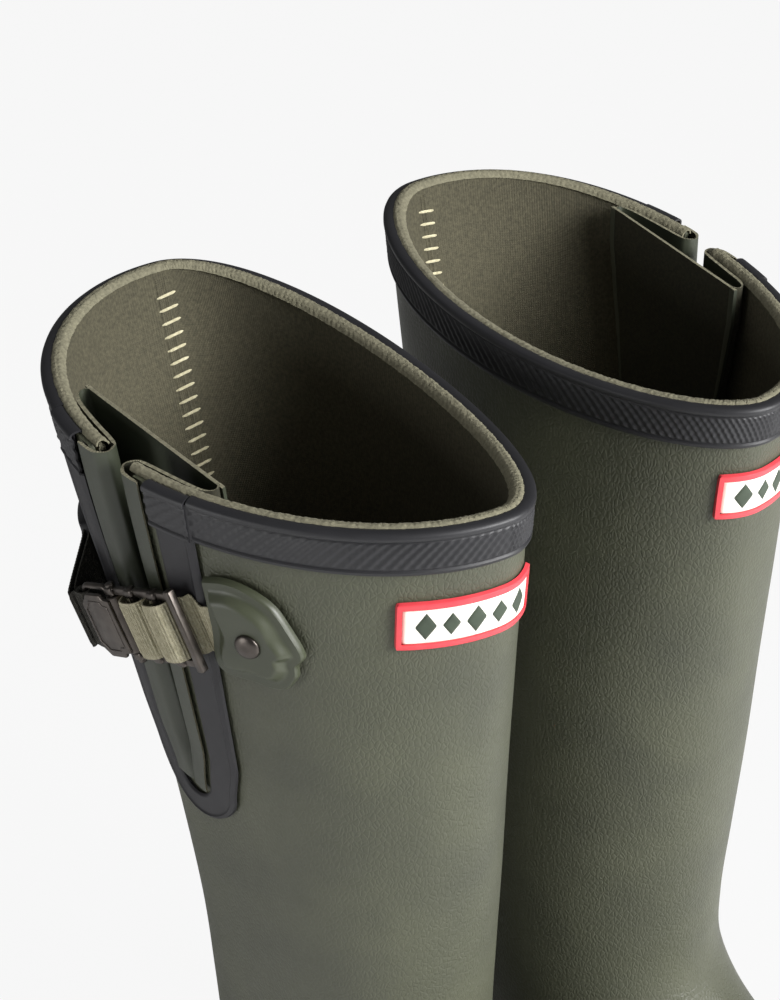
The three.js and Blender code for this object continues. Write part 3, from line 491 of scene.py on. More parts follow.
def rubber(name, dark, light, roughness, grain=0.0):
    """Vulcanised natural rubber. With grain it is embossed like leather, in 1.5 mm cells that run up the leg;
    without, it has the fine orange peel of a polished mould. Rubber's IOR is 1.52."""
    made, tree, shader, place = mottled(name, dark, light, 28.0, roughness, IOR=1.52)
    roughen(tree, shader, roughness - 0.06, roughness + 0.07, 160.0, place["Object"])
    peel = add(tree, "ShaderNodeTexNoise", {"Vector": place["Object"], "Scale": PEEL, "Detail": 2.0})
    under = relief(tree, shader, peel.outputs["Fac"], 0.12, 0.0002)
    if grain:
        stretched = add(tree, "ShaderNodeMapping", {"Vector": place["Object"], "Scale": (1, 1, 0.62)})
        warp = add(tree, "ShaderNodeTexNoise", {"Vector": stretched.outputs["Vector"], "Scale": WAVER})
        warped = {0: warp.outputs["Color"], 1: (WARP, WARP, WARP), 2: stretched.outputs["Vector"]}
        moved = add(tree, "ShaderNodeVectorMath", warped, operation="MULTIPLY_ADD")
        grain_cells = {"Vector": moved.outputs["Vector"], "Scale": CELLS, "Randomness": 1.0}
        cells = add(tree, "ShaderNodeTexVoronoi", grain_cells, feature="DISTANCE_TO_EDGE")
        valley = add(tree, "ShaderNodeMapRange", {"Value": cells.outputs["Distance"], "From Max": 0.22})
        relief(tree, shader, valley.outputs["Result"], grain, 0.00035, under)
    return made


def cloth(name, dark, light, pitch, relief_strength, fuzz=0.3):
    """Knitted polyester: ribs of loops a set pitch apart across the piece's own pattern coordinates, with
    a dusty sheen from their fibre."""
    sheen = {"Sheen_Weight": fuzz, "Sheen_Roughness": 0.5, "Sheen_Tint": colour(light)}
    made, tree, shader, place = mottled(name, dark, light, YARN, 0.92, IOR=1.5, **sheen)
    loops = []
    for direction, spacing in (("X", pitch), ("Y", pitch * 0.8)):
        bands = {"Vector": place["UV"], "Scale": math.pi / 10 / (spacing * MM), "Distortion": 0.6}
        wave = add(tree, "ShaderNodeTexWave", bands, bands_direction=direction)
        loops.append(wave.outputs["Fac"])
    knit = add(tree, "ShaderNodeMath", {0: loops[0], 1: loops[1]}, operation="MULTIPLY")
    fluff = add(tree, "ShaderNodeTexNoise", {"Vector": place["Object"], "Scale": FIBRES, "Detail": 3.0})
    under = relief(tree, shader, fluff.outputs["Fac"], 0.5, 0.0003)
    relief(tree, shader, knit.outputs["Value"], relief_strength, 0.0003, under)
    return made


def metal(name, dark, light, roughness):
    """Zinc die casting with a dark, tumbled nickel plating: a soft, brownish mirror."""
    made, tree, shader, place = mottled(name, dark, light, 220.0, roughness, Metallic=1.0)
    roughen(tree, shader, roughness - 0.08, roughness + 0.1, 700.0, place["Object"])
    return made


def plastic(name, dark, light, roughness):
    """Soft PVC, moulded and printed: an even colour with a slight gloss. PVC's IOR is 1.53."""
    made, tree, shader, place = mottled(name, dark, light, 150.0, roughness, IOR=1.53)
    peel = add(tree, "ShaderNodeTexNoise", {"Vector": place["Object"], "Scale": 1200.0})
    relief(tree, shader, peel.outputs["Fac"], 0.08, 0.0002)
    return made


# Rubber pressed on a textured last: dull, with small leathery cells that catch the light.
GRAINED = rubber("embossed_olive_rubber", "#434537", "#4e503f", 0.5, grain=0.34)
# Rubber from a polished mould: an even, soft gloss.
OLIVE = rubber("moulded_olive_rubber", "#383c2d", "#434736", 0.42)
GUSSET = rubber("thin_olive_rubber", "#31352a", "#3b3f32", 0.42)
# Rubber strips rolled out and laid on: nearly black, and a little duller.
SLATE = rubber("slate_rubber", "#161519", "#1d1c20", 0.54)
CHARCOAL = rubber("charcoal_rubber", "#1a1a1d", "#232326", 0.5)
# Carbon-filled rubber, moulded hard: the dullest of them.
SOLE = rubber("black_carbon_rubber", "#222325", "#2b2c2e", 0.62)
# Polyester knitted or brushed on neoprene and rubber: matt and dusty, with rows of loops.
KNIT = cloth("knitted_neoprene_face", "#434032", "#585442", 0.9, 0.5)
GUSSET_BACK = cloth("brushed_olive_backing", "#27261b", "#353324", 1.1, 0.3)
CUT_EDGE = cloth("cut_neoprene_edge", "#6a6755", "#827e69", 1.6, 0.4, fuzz=0.1)
# Woven polyester and its thread: close ribs with a faint sheen.
WEBBING_OLIVE = cloth("olive_polyester_webbing", "#989279", "#b3ad94", 0.5, 0.5, fuzz=0.2)
WEBBING_BLACK = cloth("black_polyester_webbing", "#1f1e1a", "#34322b", 0.5, 0.5, fuzz=0.15)
THREAD = cloth("cream_polyester_thread", "#bdb593", "#ddd6b6", 0.6, 0.3, fuzz=0.1)
# Nickel over cast zinc, tumbled: a blurred, brownish mirror.
GUNMETAL = metal("dark_nickel_plated_zinc", "#524d49", "#645e59", 0.36)
# Moulded and printed vinyl: clean, flat colour with a slight gloss.
LABEL_RED = plastic("red_moulded_vinyl", "#d63c47", "#e0484f", 0.42)
LABEL_CREAM = plastic("cream_moulded_vinyl", "#f3f0e2", "#fbf9ee", 0.45)
LABEL_MARK = plastic("dark_green_printed_vinyl", "#2f3a2c", "#3a4636", 0.5)
# Deep inside and hardly seen: pressed foam and fibre, and bare steel.
FOAM = cloth("pressed_foam_footbed", "#2c2e28", "#3a3c34", 1.4, 0.4)
BOARD = cloth("pressed_fibre_board", "#85765a", "#98886a", 0.7, 0.3, fuzz=0.0)
STEEL = metal("bare_spring_steel", "#8b8e90", "#9a9da0", 0.32)


def dress(piece, *finishes):
    slots = piece.data.materials
    while len(slots) < len(finishes):
        slots.append(None)
    for k, finish in enumerate(finishes):
        slots[k] = finish


# Where a rigid piece of the boot belongs: its body, its slot and its finishes.
ON_OLIVE = ("boot", "olive_smooth_rubber", (OLIVE,))
ON_CHARCOAL = ("boot", "charcoal_band_rubber", (CHARCOAL,))
ON_SOLE = ("boot", "sole_rubber", (SOLE,))
ON_METAL = ("boot", "gunmetal", (GUNMETAL,))


def pair_up(piece, part, body, slot, finishes, *nodes, bend=None):
    """Puts a piece of the right boot on both boots, in place of their CAD nodes."""
    dress(piece, *finishes)
    for side in SIDES:
        twin = piece.copy()
        twin.data = piece.data.copy()
        bpy.context.scene.collection.objects.link(twin)
        twin.name = f"{side}_{part}_visual"
        mirror = 1 if side == "right" else -1
        if mirror < 0:
            twin.data.transform(Matrix.Scale(-1, 4, (1, 0, 0)))
            twin.data.flip_normals()
        if bend:
            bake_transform(twin)
        else:
            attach(twin, f"{side}_{body}")
        if nodes:
            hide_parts(*(f"{side}_{node}" for node in nodes))
    bpy.data.objects.remove(piece)


# ---- leg and foot
WEDGE = 6  # columns of the grid that fill the slot
AROUND = 216
SOCK_ROW = 17.6  # where the lining ends, just above the sole


def slot_edges(row):
    taper = SLOT_TAPER * smooth(row, SLOT_ROW - 1, SLOT_ROW)
    return 360 + SLOT_FRONT + taper, 360 + SLOT_REAR - taper


def leg_turn(s, row):
    """From the slot's rear edge over the slot, then round the leg and back to the same edge."""
    front, rear = slot_edges(row)
    share = WEDGE / AROUND
    over = rear + (front - rear) * s / share
    return np.where(s < share, over, front + (rear - 360 - front) * (s - share) / (1 - share))


def leg(name, off, last_row, thickness, **more):
    def place(s, t):
        row = t * last_row
        return in_row(wall(leg_turn(s, row), row, np.full_like(s, off)))

    def slot(s, t):
        return (s < WEDGE / AROUND) & (t * last_row < SLOT_ROW)

    down = round(last_row * 10)
    return laid(name, AROUND, down, place, (420, 420), thickness, slot, close=True, **more)


shell = leg("shell", 0, LAST_ROW, RUBBER)
pair_up(shell, "leg_and_foot", "boot", "olive_grained_rubber", (GRAINED,), "upper_shell")
sock = leg("sock", -PANEL, SOCK_ROW, NEOPRENE, flip=True, skins=(1, 1))
pair_up(sock, "neoprene_lining", "boot", "knit_neoprene", (KNIT, CUT_EDGE), "lining")


# ---- the rim
RIM_FRONT = 360 + SLOT_FRONT
RIM_REAR = SLOT_REAR


def ring_piece(name, profile, turns, across, size, relief_at, thickness=0.7, raised=0.0):
    """A strip round the rim. profile is a list of (share down, off the wall, row, rise)."""
    profile = np.asarray(profile, float)

    def place(s, t):
        off, row, rise = (np.interp(t, profile[:, 0], profile[:, k]) for k in (1, 2, 3))
        turn = turns[0] + (turns[1] - turns[0]) * s
        made = wall(turn, row, off + relief_at(s, t) + raised)
        made[:, 2] += rise
        return in_row(made)

    return laid(name, across, size[2], place, size[:2], thickness)


BAND_PROFILE = [  # a bead on top, a recess for the ribs and a thin line below
    (0, -2.6, 0, 0.2),
    (0.03, -2.3, 0, 1.1),
    (0.06, -1.2, 0, 1.5),
    (0.09, 0.3, 0, 1.5),
    (0.12, 1.6, 0, 1.2),
    (0.16, 2.1, 0.03, 0.4),
    (0.2, 1.9, 0.13, 0),
    (0.23, 1.3, 0.17, 0),
    (0.26, 1.35, 0.2, 0),
    (0.84, 1.35, 0.84, 0),
    (0.87, 1.3, 0.87, 0),
    (0.91, 1.8, 0.9, 0),
    (0.95, 1.75, 0.96, 0),
    (1, 0.4, 1.0, 0),
]
KNURL_PITCH = 2.1  # between ribs; the real ones are about 1.4 mm apart, drawn coarser so that they show
KNURL_HEIGHT = 0.5
BAND_TALL = 13
BAND_STEP = 0.55  # of the grid, fine enough for the ribs


def knurl(length):
    """Ribs that slant one way, crossed by shallower ones."""

    def height(s, t):
        x, z = s * length, t * BAND_TALL
        slant = np.cos(2 * math.pi * (x * 0.8 + z * 0.8) / KNURL_PITCH / 1.13)
        cross = np.cos(2 * math.pi * (x * 0.8 - z * 0.8) / KNURL_PITCH / 1.13)
        inside = smooth(t, 0.25, 0.29) * (1 - smooth(t, 0.82, 0.86))
        return KNURL_HEIGHT * inside * np.maximum(0, 0.38 + 0.46 * slant + 0.16 * cross)

    return height


def band(name, turns, length, raised=0.0):
    across = int(length / BAND_STEP)
    size = (length, BAND_TALL, 46)
    return ring_piece(name, BAND_PROFILE, turns, across, size, knurl(length), raised=raised)


band_turns = (RIM_FRONT - FLAP_TURN + 0.3, RIM_REAR + FLAP_TURN - 0.3)
pair_up(band("band", band_turns, 375), "top_band", *ON_CHARCOAL, "top_band")
END_LENGTH = 9.5
END_RAISE = 0.9
END_TURNS = {
    "band_end_front": (RIM_FRONT - WRAP + 0.6, RIM_FRONT - FLAP_TURN + 0.6),
    "band_end_rear": (RIM_REAR + FLAP_TURN - 0.6, RIM_REAR + WRAP - 0.6),
}
for part, turns in END_TURNS.items():
    pair_up(band(part, turns, END_LENGTH, END_RAISE), part, *ON_CHARCOAL, part)

EDGE_PROFILE = [  # over the neoprene's top, from outside to inside
    (0, -1.9, 0, 0),
    (0.15, -2.0, 0, 0.9),
    (0.3, -2.5, 0, 1.35),
    (0.5, -3.3, 0, 1.3),
    (0.7, -4.1, 0, 1.0),
    (0.85, -4.7, 0.01, 0.4),
    (1, -5.4, 0.12, 0),
]


def frayed(s, t):
    """The cut edge's loose fibres."""
    return 0.16 * np.sin(s * 811) * np.cos(s * 377 + t * 9) + 0.08 * np.sin(s * 1913 + t * 23)


rim_turns = (RIM_FRONT + 1.6, RIM_REAR - 1.6)
rim_ring = ring_piece("edge", EDGE_PROFILE, rim_turns, 620, (400, 5, 12), frayed, 0.6)
pair_up(rim_ring, "rim_edge", "boot", "knit_neoprene", (CUT_EDGE,))

# ---- the back seam's stitches
STITCH_PITCH = 4.6
STITCH_WIDTH = 8.2
STITCH_SLANT = 0.6
THREAD_RADIUS = 0.52
SEAM_ENDS = (9, 262)  # below the rim
seam_drops = np.arange(*SEAM_ENDS, STITCH_PITCH)
SEAM_TURN = 180
SEAM_TOP = 3
SEAM_WIDE = 5.2  # degrees


def lining_point(ahead, drop, lift):
    row = row_below(SEAM_TURN, drop)
    turn = forwards(SEAM_TURN, float(row), ahead)
    return in_row(wall(turn, row, -PANEL - lift))


stitches = []
for k, drop in enumerate(seam_drops):
    along = np.linspace(-1, 1, 7)
    lifts = 0.55 * np.sqrt(np.maximum(0, 1 - along**4)) - 0.2
    path = [
        lining_point(a * STITCH_WIDTH / 2, drop + STITCH_SLANT * a, lift) for a, lift in zip(along, lifts)
    ]
    stitches.append(tube(f"stitch_{k}", path, THREAD_RADIUS, sides=6, widths=[0.5, 1, 1, 1, 1, 1, 0.5]))
pair_up(joined("stitches", *stitches), "back_seam_stitches", "boot", "knit_neoprene", (THREAD,))


def seam_ridge(s, t):
    drop = SEAM_TOP + t * (SEAM_ENDS[1] + 4)
    row = row_below(SEAM_TURN, drop)
    turn = SEAM_TURN + (s - 0.5) * SEAM_WIDE
    lift = 0.12 + 0.35 * np.exp(-(((s - 0.5) / 0.1) ** 2))
    return in_row(wall(turn, row, -PANEL - lift))


seam = laid("seam", 12, 140, seam_ridge, (8, 260), 0.3)
pair_up(seam, "back_seam", "boot", "knit_neoprene", (KNIT,))

# ---- the bellows gusset
REACH = [25, 25, 22, 18.5, 15, 11, 7]  # of the fold at each row
REACH_REAR = 1.1
FULL_FOLD = 15  # a shorter reach has a smaller fold
GUSSET_AROUND = 190
GUSSET_DOWN = 66


def gusset_side(reach):
    """Ahead of the panel's edge, and off the wall: over that edge, along the panel and into the fold."""
    deep = -PANEL - GAP - FLAP / 2
    r = min(1.0, reach / FULL_FOLD)
    return np.array(
        [
            [3.4, 1.15],
            [0.2, 1.05],
            [-3.4, 0.5],
            [-5.6, -1.6],
            [-6.1, -PANEL / 2 - 0.6],
            [-5.0, deep + 0.6],
            [-2.2, deep - 0.6],
            [0.35 * reach, deep - 1.0],
            [0.72 * reach, deep - 0.6],
            [reach - 2.6 * r, deep - 0.5 - 0.3 * r],
            [reach - 0.6 * r, deep - 0.5 - 1.4 * r],
            [reach, deep - 0.5 - 3.3 * r],
            [reach - 1.4 * r, deep - 0.5 - 5.2 * r],
            [reach - 4.2 * r, deep - 0.5 - 5.9 * r],
        ]
    )


def gusset_points(row):
    """The gusset's middle line at one row, from the front panel's edge to the rear panel's."""
    reach = np.interp(row, range(len(REACH)), REACH)
    front_edge, rear_edge = slot_edges(np.array(row))
    front, rear = gusset_side(reach), gusset_side(reach * REACH_REAR)[::-1]
    turns = np.concatenate(
        [forwards(front_edge - 360, row, front[:, 0]), forwards(rear_edge - 360, row, -rear[:, 0])]
    )
    return wall(turns, row, np.concatenate([front[:, 1], rear[:, 1]]))


gusset_rows = np.linspace(0, SLOT_ROW - 0.05, GUSSET_DOWN + 1)
gusset_lines = np.array(
    [bend_through(gusset_points(row), np.linspace(0, 1, GUSSET_AROUND + 1)) for row in gusset_rows]
)
ahead = np.gradient(gusset_lines, axis=1)
beside = unit(np.stack([-ahead[..., 1], ahead[..., 0], np.zeros(ahead.shape[:2])], -1))
gusset_lines += beside * FLAP / 2


def gusset_place(s, t):
    i = np.rint(s * GUSSET_AROUND).astype(int)
    j = np.rint(t * GUSSET_DOWN).astype(int)
    return in_row(gusset_lines[j, i])


gusset_grid = (GUSSET_AROUND, GUSSET_DOWN)
backed = {"flip": True, "skins": (1, 2), "even": False}
bellows = laid("bellows", *gusset_grid, gusset_place, (150, 130), FLAP, **backed)
pair_up(bellows, "gusset", "boot", "gusset_rubber", (GUSSET, GUSSET_BACK, CUT_EDGE), "gusset")

# ---- the flap round the slot
U_ARM = 5.75  # rows, where the arms start to turn into the foot
U_COLUMNS = 150
ARM = 0.42  # share of the strip's length in each arm
FOOT_START = 0.08  # rows below the slot
BEAD = 0.55
BEAD_AT = 0.86  # across the strip
slot_middle = (SLOT_FRONT + SLOT_REAR) / 2
slot_half = (SLOT_REAR - SLOT_FRONT) / 2


def flap_place(s, t):
    """t runs across the strip from the slot outwards, s down the front arm, round and up the rear arm."""
    front = s < 0.5
    down = np.minimum(s, 1 - s) / ARM
    row_arm = np.clip(down, 0, 1) * U_ARM
    half_slot = slot_half - SLOT_TAPER * smooth(row_arm, SLOT_ROW - 1, SLOT_ROW)
    angle = np.clip((down - 1) / (0.5 / ARM - 1), 0, 1) * math.pi / 2
    half = half_slot + WRAP + t * (FLAP_TURN - WRAP)
    deep = SLOT_ROW - U_ARM + FOOT_START + t * (SURROUND_FOOT - FOOT_START)
    turn = slot_middle + np.where(front, -1, 1) * half * np.cos(angle)
    row = row_arm + deep * np.sin(angle)
    edge = np.minimum(smooth(t, -0.06, 0.1), 1 - smooth(t, 0.95, 1.03))
    bead = BEAD * np.exp(-(((t - BEAD_AT) / 0.045) ** 2))
    return in_row(wall(turn, row, GAP + 0.4 + FLAP * edge + bead))


flap = laid("flap", U_COLUMNS, 26, flap_place, (280, 11), 0.5, flip=True, even=False)
pair_up(flap, "gusset_surround", "boot", "slate_strip_rubber", (SLATE,), "gusset_surround")

# ---- the front tab and its rivet
TAB_BACK = 21
RIVET_U = TAB_BACK + 13.5
TAB_TOP = STRAP_START + 4.8
# The strap's u and w, clockwise from the upper back corner: a rounded top, a pointed tip and a lower lobe.
TAB_OUTLINE = [(24.5, 19.5), (32, 20), (39, 17.5), (45, 12), (48, 3), (49.5, -5)]
TAB_OUTLINE += [(46.5, -8.5), (45, -13), (39.5, -17), (30, -15), (18.5, -11), (21.5, 4), (24.5, 19.5)]
TAB_WALL = 1.0
LIP = 2.6  # flat, round the tab's raised middle
CROWN = 2.9
SEAT = 0.9  # the hollow that the rivet sits in
RIVET = 4.1  # radius of the rivets' heads


def tab_place(s, t):
    """s runs round the outline, and t inwards from it to the rivet."""
    rim = bend_through(TAB_OUTLINE, s)
    inwards = np.array([RIVET_U, 0]) - rim
    share, reach = t**1.4, np.linalg.norm(inwards, axis=-1)
    u, w = (rim + inwards * share[:, None]).T
    inset = share * reach * 0.85
    edge = np.sqrt(np.clip(inset / 0.7, 0, 1))
    crown = CROWN * smooth(inset, LIP, LIP + 3.4)
    seat = SEAT * np.exp(-((((1 - share) * reach) / 7) ** 2))
    return on_strap(u, w, STRAP_START - 0.4 + 2.2 * edge + crown - seat)


tab = laid("tab", 132, 30, tab_place, (100, 16), TAB_WALL, close=True, even=False)
pair_up(tab, "front_tab", *ON_OLIVE, "front_tab")


def dome(radius, base, height):
    a = np.linspace(0, math.pi / 2, 9)
    cap = [[radius * math.sin(x), base + 0.5 + height * math.cos(x)] for x in a]
    return [*cap, [radius, base], [radius * 0.9, base - 0.2], [0, base - 0.2]]


origin, axes = strap_axes(RIVET_U)
rivet = turned("rivet", dome(RIVET, TAB_TOP - 1.0, 1.5), origin, axes)
pair_up(rivet, "tab_rivet", *ON_METAL, "tab_rivet")

# ---- the webbing through the buckle
BAR = 2.8
FRAME_LENGTH = 33
FRAME_HEIGHT = 25.6
FRONT_BAR = FRAME_LENGTH / 2
RAIL = 2.6
LADDER = (-5, 6.5)
RIB = 0.95
RIB_HEIGHT = 0.16
SELVEDGE = 0.09  # share of the webbing's width at each edge, a little lower than the rest


def ribbon(name, rows, steps_along, length):
    """Webbing through stations of (left, middle, right) points, with ribs across it."""
    rows = np.asarray(rows, float)
    t_along = np.linspace(0, 1, steps_along + 1)
    lines = bend_through(rows, t_along)
    run = np.concatenate([[0], np.cumsum(np.linalg.norm(np.diff(lines[:, 1], axis=0), axis=1))])
    even = t_along * run[-1]
    lines = np.array([[np.interp(even, run, lines[:, k, a]) for a in range(3)] for k in range(3)])
    lines = np.moveaxis(lines, 2, 0)
    forward = unit(np.gradient(lines[:, 1], axis=0))
    width = unit(lines[:, 2] - lines[:, 0])
    normal = unit(np.cross(forward, width))

    def place(s, t):
        j = np.rint(t * steps_along).astype(int)
        side = np.where(s < 0.5, 0, 1)
        f = (s * 2 - side)[:, None]
        base = lines[j, side] * (1 - f) + lines[j, side + 1] * f
        ribs = RIB_HEIGHT * np.cos(2 * math.pi * t * run[-1] / RIB)
        border = 0.14 * ((s < SELVEDGE) | (s > 1 - SELVEDGE))
        lift = ribs * np.where(border > 0, 0.4, 1) - border
        return base + normal[j] * (WEBBING / 2 + lift)[:, None]

    return laid(name, 22, steps_along, place, (WEBBING_WIDTH, length), WEBBING, even=False)


def across_strap(u, off):
    half = WEBBING_WIDTH / 2
    return [on_strap(u, w, off) for w in (half, 0, -half)]


def across_buckle(u, n):
    half = WEBBING_WIDTH / 2
    return [in_buckle(u, w, n) for w in (half, 0, -half)]


over = BAR / 2 + GAP + WEBBING / 2
stub_off = STRAP_START + WEBBING / 2
web_rows = [across_strap(TAB_BACK + u, stub_off) for u in (16, 12, 8, 4, 1, -1)]
web_rows += [across_buckle(*HINGE), across_buckle(FRONT_BAR - 1, -over - 0.6)]
web_rows.append(across_buckle(FRONT_BAR - 4, -over))
hump = ((5.4, -over), (4.8, 0.6), (3.4, over + 0.4), (0, over + 1.1), (-3.4, over + 0.4), (-4.8, 0.6))
for at in reversed(LADDER):
    web_rows += [across_buckle(at + d, n) for d, n in hump]
web_rows += [across_buckle(LADDER[0] - 5.5, -over + 0.3), across_buckle(LADDER[0] - 6.5, -over)]
webbing = ribbon("webbing", web_rows, 380, 90)
hinge_point = in_buckle(HINGE[0], 0, HINGE[1])
bend = (hinge_point + 2.5 * ALONG, hinge_point - 2.5 * ALONG)
webbing_nodes = ("webbing_stub", "webbing_weave")
pair_up(webbing, "webbing", "buckle", "olive_webbing", (WEBBING_OLIVE,), *webbing_nodes, bend=bend)

# ---- the buckle
rail_at = FRAME_HEIGHT / 2 - RAIL / 2
frame_pieces = [
    block("rail_up", (FRAME_LENGTH, RAIL, 1.9), (0, rail_at, 0), 0.5),
    block("rail_down", (FRAME_LENGTH, RAIL, 1.9), (0, -rail_at, 0), 0.5),
    block("end_bar", (2.6, FRAME_HEIGHT + 2.4, 2.8), (FRONT_BAR - 1.3, 0, 0.4), 0.55),
]
frame_pieces += [rod(f"bar_{k}", BAR / 2, FRAME_HEIGHT + 0.8, u, 0) for k, u in enumerate(LADDER)]
frame_pieces.append(rod("hook_bar", BAR / 2, FRAME_HEIGHT + 2.4, HOOK_BAR, 0))
for k, u in enumerate((HOOK_BAR, *LADDER)):
    for side in (-1, 1):
        spot = (u, side * rail_at, 0.5)
        frame_pieces.append(block(f"boss_{k}_{side}", (4.2, RAIL + 0.5, 2.6), spot, 0.9))
pair_up(joined("frame", *frame_pieces), "buckle_frame", "buckle", "gunmetal", (GUNMETAL,), "buckle_frame")

PLATE = 1.5
PLATE_LENGTH = 14.6
PLATE_OUT = BAR / 2 + 0.9
plate_height = FRAME_HEIGHT - 2 * RAIL - 2 * GAP


def plate_outline():
    """Chamfered at its two free corners."""
    back, up, chamfer = -PLATE_LENGTH, plate_height / 2 + 1.3, 3.8
    corners = [(0, 1.9 - up), (0, up - 1.9), (-2.9, up - 1.5), (-3.7, up), (back + chamfer, up)]
    corners += [(back, up - chamfer), (back, chamfer - up), (back + chamfer, -up)]
    return [*corners, (-3.7, -up), (-2.9, 1.5 - up)]


def plate():
    outline = plate_outline()
    bpy.ops.object.select_all(action="DESELECT")
    bpy.ops.mesh.primitive_circle_add(vertices=len(outline), fill_type="NGON")
    piece = bpy.context.object
    piece.name = "plate"
    set_points(piece, np.array([(u, w, 0) for u, w in outline]) * MM)
    edit(lambda: bpy.ops.mesh.extrude_region_move(TRANSFORM_OT_translate={"value": (0, 0, PLATE * MM)}))
    face_outwards()
    apply(piece, "BEVEL", width=0.45 * MM, segments=3, limit_method="ANGLE", angle_limit=math.radians(30))
    u, w, n = (points_of(piece) / MM).T
    set_points(piece, in_buckle(u + HOOK_BAR + 0.6, w, n + PLATE_OUT - 0.3) * MM)
    shade(piece)
    return piece


def knuckle():
    outer, inner, half = BAR / 2 + GAP + 0.95, BAR / 2 + GAP, plate_height / 2
    profile = [[inner, -half], [outer - 0.3, -half], [outer, 0.3 - half], [outer, half - 0.3]]
    profile += [[outer - 0.3, half], [inner, half], [inner, -half]]
    return turned("knuckle", profile, in_buckle(HOOK_BAR, 0, 0), np.array([OUT, ALONG, ACROSS]), 32)


def frame_line(corner, inset):
    """A raised line just inside the plate's edge, where such plates carry their border."""
    scale = 1 - inset / (plate_height / 2)
    middle = -PLATE_LENGTH / 2 - 0.8
    path = [(middle + (u - middle) * scale, w * scale) for u, w in plate_outline()]
    dense = []
    for (u0, w0), (u1, w1) in zip(path, path[1:] + path[:1]):
        dense += [(u0 + (u1 - u0) * f, w0 + (w1 - w0) * f) for f in np.linspace(0, 1, 4)[:-1]]
    spots = np.array([in_buckle(u + HOOK_BAR + 0.6, w, PLATE_OUT + 1.15) for u, w in dense])
    return tube(corner, spots, 0.28, sides=8, closed=True)


prong = block("prong", (1.5, 11, PLATE_OUT + 3.2), (HOOK_BAR - 7.4, 0, (PLATE_OUT - 3.2) / 2), 0.4)
hook = joined("hook", plate(), knuckle(), frame_line("border", 2.2), prong)
pair_up(hook, "hook_plate", "hook", "gunmetal", (GUNMETAL,), "hook_plate")

# ---- the ring, the rear strap and its anchor
RING_WIRE = 2.2
RING_FRONT = HOOK_BAR - 4.6
RING_REAR = RING_FRONT - 12
RING_LEVEL = -1.2


def ring_path():
    half, corner = (WEBBING_WIDTH + RING_WIRE + 1) / 2, 2.4
    path = []
    for u, w, start in (
        (RING_FRONT - corner, half - corner, 0),
        (RING_REAR + corner, half - corner, 90),
        (RING_REAR + corner, corner - half, 180),
        (RING_FRONT - corner, corner - half, 270),
    ):
        for a in np.radians(np.linspace(start, start + 90, 7)):
            path.append(in_buckle(u + corner * math.cos(a), w + corner * math.sin(a), RING_LEVEL))
    return path


ring = tube("ring", ring_path(), RING_WIRE / 2, sides=14, closed=True)
pair_up(ring, "strap_ring", *ON_METAL, "strap_ring")

ANCHOR_FRONT = -47
ANCHOR_LENGTH = 31
ANCHOR_HEIGHT = 27
ANCHOR = 2.6
bore = RING_WIRE / 2 + GAP + WEBBING / 2
loop_back = RING_REAR - bore - 2.4
anchor_off = STRAP_START + ANCHOR / 2
rear_rows = [across_strap(ANCHOR_FRONT + d, anchor_off + 0.75) for d in (-8, -3, 0.5)]
rear_rows += [across_buckle(loop_back - 3, RING_LEVEL + 0.9), across_buckle(loop_back, RING_LEVEL + 1.1)]
for a in (100, 60, 20, -20, -60, -100):
    u = RING_REAR + bore * math.cos(math.radians(a))
    rear_rows.append(across_buckle(u, RING_LEVEL + bore * math.sin(math.radians(a))))
rear_rows += [across_buckle(loop_back, RING_LEVEL - 1.1), across_buckle(loop_back - 3, RING_LEVEL - 0.9)]
rear_rows += [across_strap(ANCHOR_FRONT + d, anchor_off - 0.75) for d in (0.5, -3, -8)]
rear_strap = ribbon("rear_strap", rear_rows[::-1], 300, 80)
pair_up(rear_strap, "rear_strap", "boot", "black_webbing", (WEBBING_BLACK,), "rear_strap")


def anchor_place(s, t):
    a, b = 2 * s - 1, 1 - 2 * t
    corner = 1 - 0.13 * np.abs(a) ** 9 * np.abs(b) ** 9
    u = ANCHOR_FRONT - ANCHOR_LENGTH / 2 + a * ANCHOR_LENGTH / 2 * corner
    w = b * ANCHOR_HEIGHT / 2 * corner
    inset = np.minimum((1 - np.abs(a)) * ANCHOR_LENGTH, (1 - np.abs(b)) * ANCHOR_HEIGHT) / 2
    edge = np.sqrt(np.clip(inset / 0.9, 0, 1))
    line = -0.35 * np.exp(-(((inset - 2.4) / 0.35) ** 2))
    return on_strap(u, w, STRAP_START - 1.0 + (ANCHOR + 1.0) * edge + line)


anchor = laid("anchor", 56, 50, anchor_place, (31, 27), 0.8, even=False)
pair_up(anchor, "rear_anchor", "boot", "black_patch_rubber", (CHARCOAL,), "rear_anchor")
for k, share in enumerate((0.3, 0.72), 1):
    origin, axes = strap_axes(ANCHOR_FRONT - ANCHOR_LENGTH * share)
    rivet = turned("anchor_rivet", dome(RIVET, STRAP_START + ANCHOR, 1.3), origin, axes)
    pair_up(rivet, f"anchor_rivet_{k}", *ON_METAL, f"anchor_rivet_{k}")

# ---- the label
LABEL_WIDTH = 47
LABEL_HEIGHT = 16.5
LABEL_BORDER = 2.2
LABEL_DROP = 31
LABEL_SHIFT = 8
label_row = float(row_below(0, LABEL_DROP))


def on_label(x, z, off):
    """Points of the label by x, to the wearer's outer side, and z up, from its middle."""
    turn = forwards(0, label_row, -np.asarray(x) - LABEL_SHIFT)
    per_row = np.linalg.norm(surface(0, label_row - 1) - surface(0, label_row + 1)) / 2
    return in_row(wall(turn, label_row - np.asarray(z) / per_row, off))


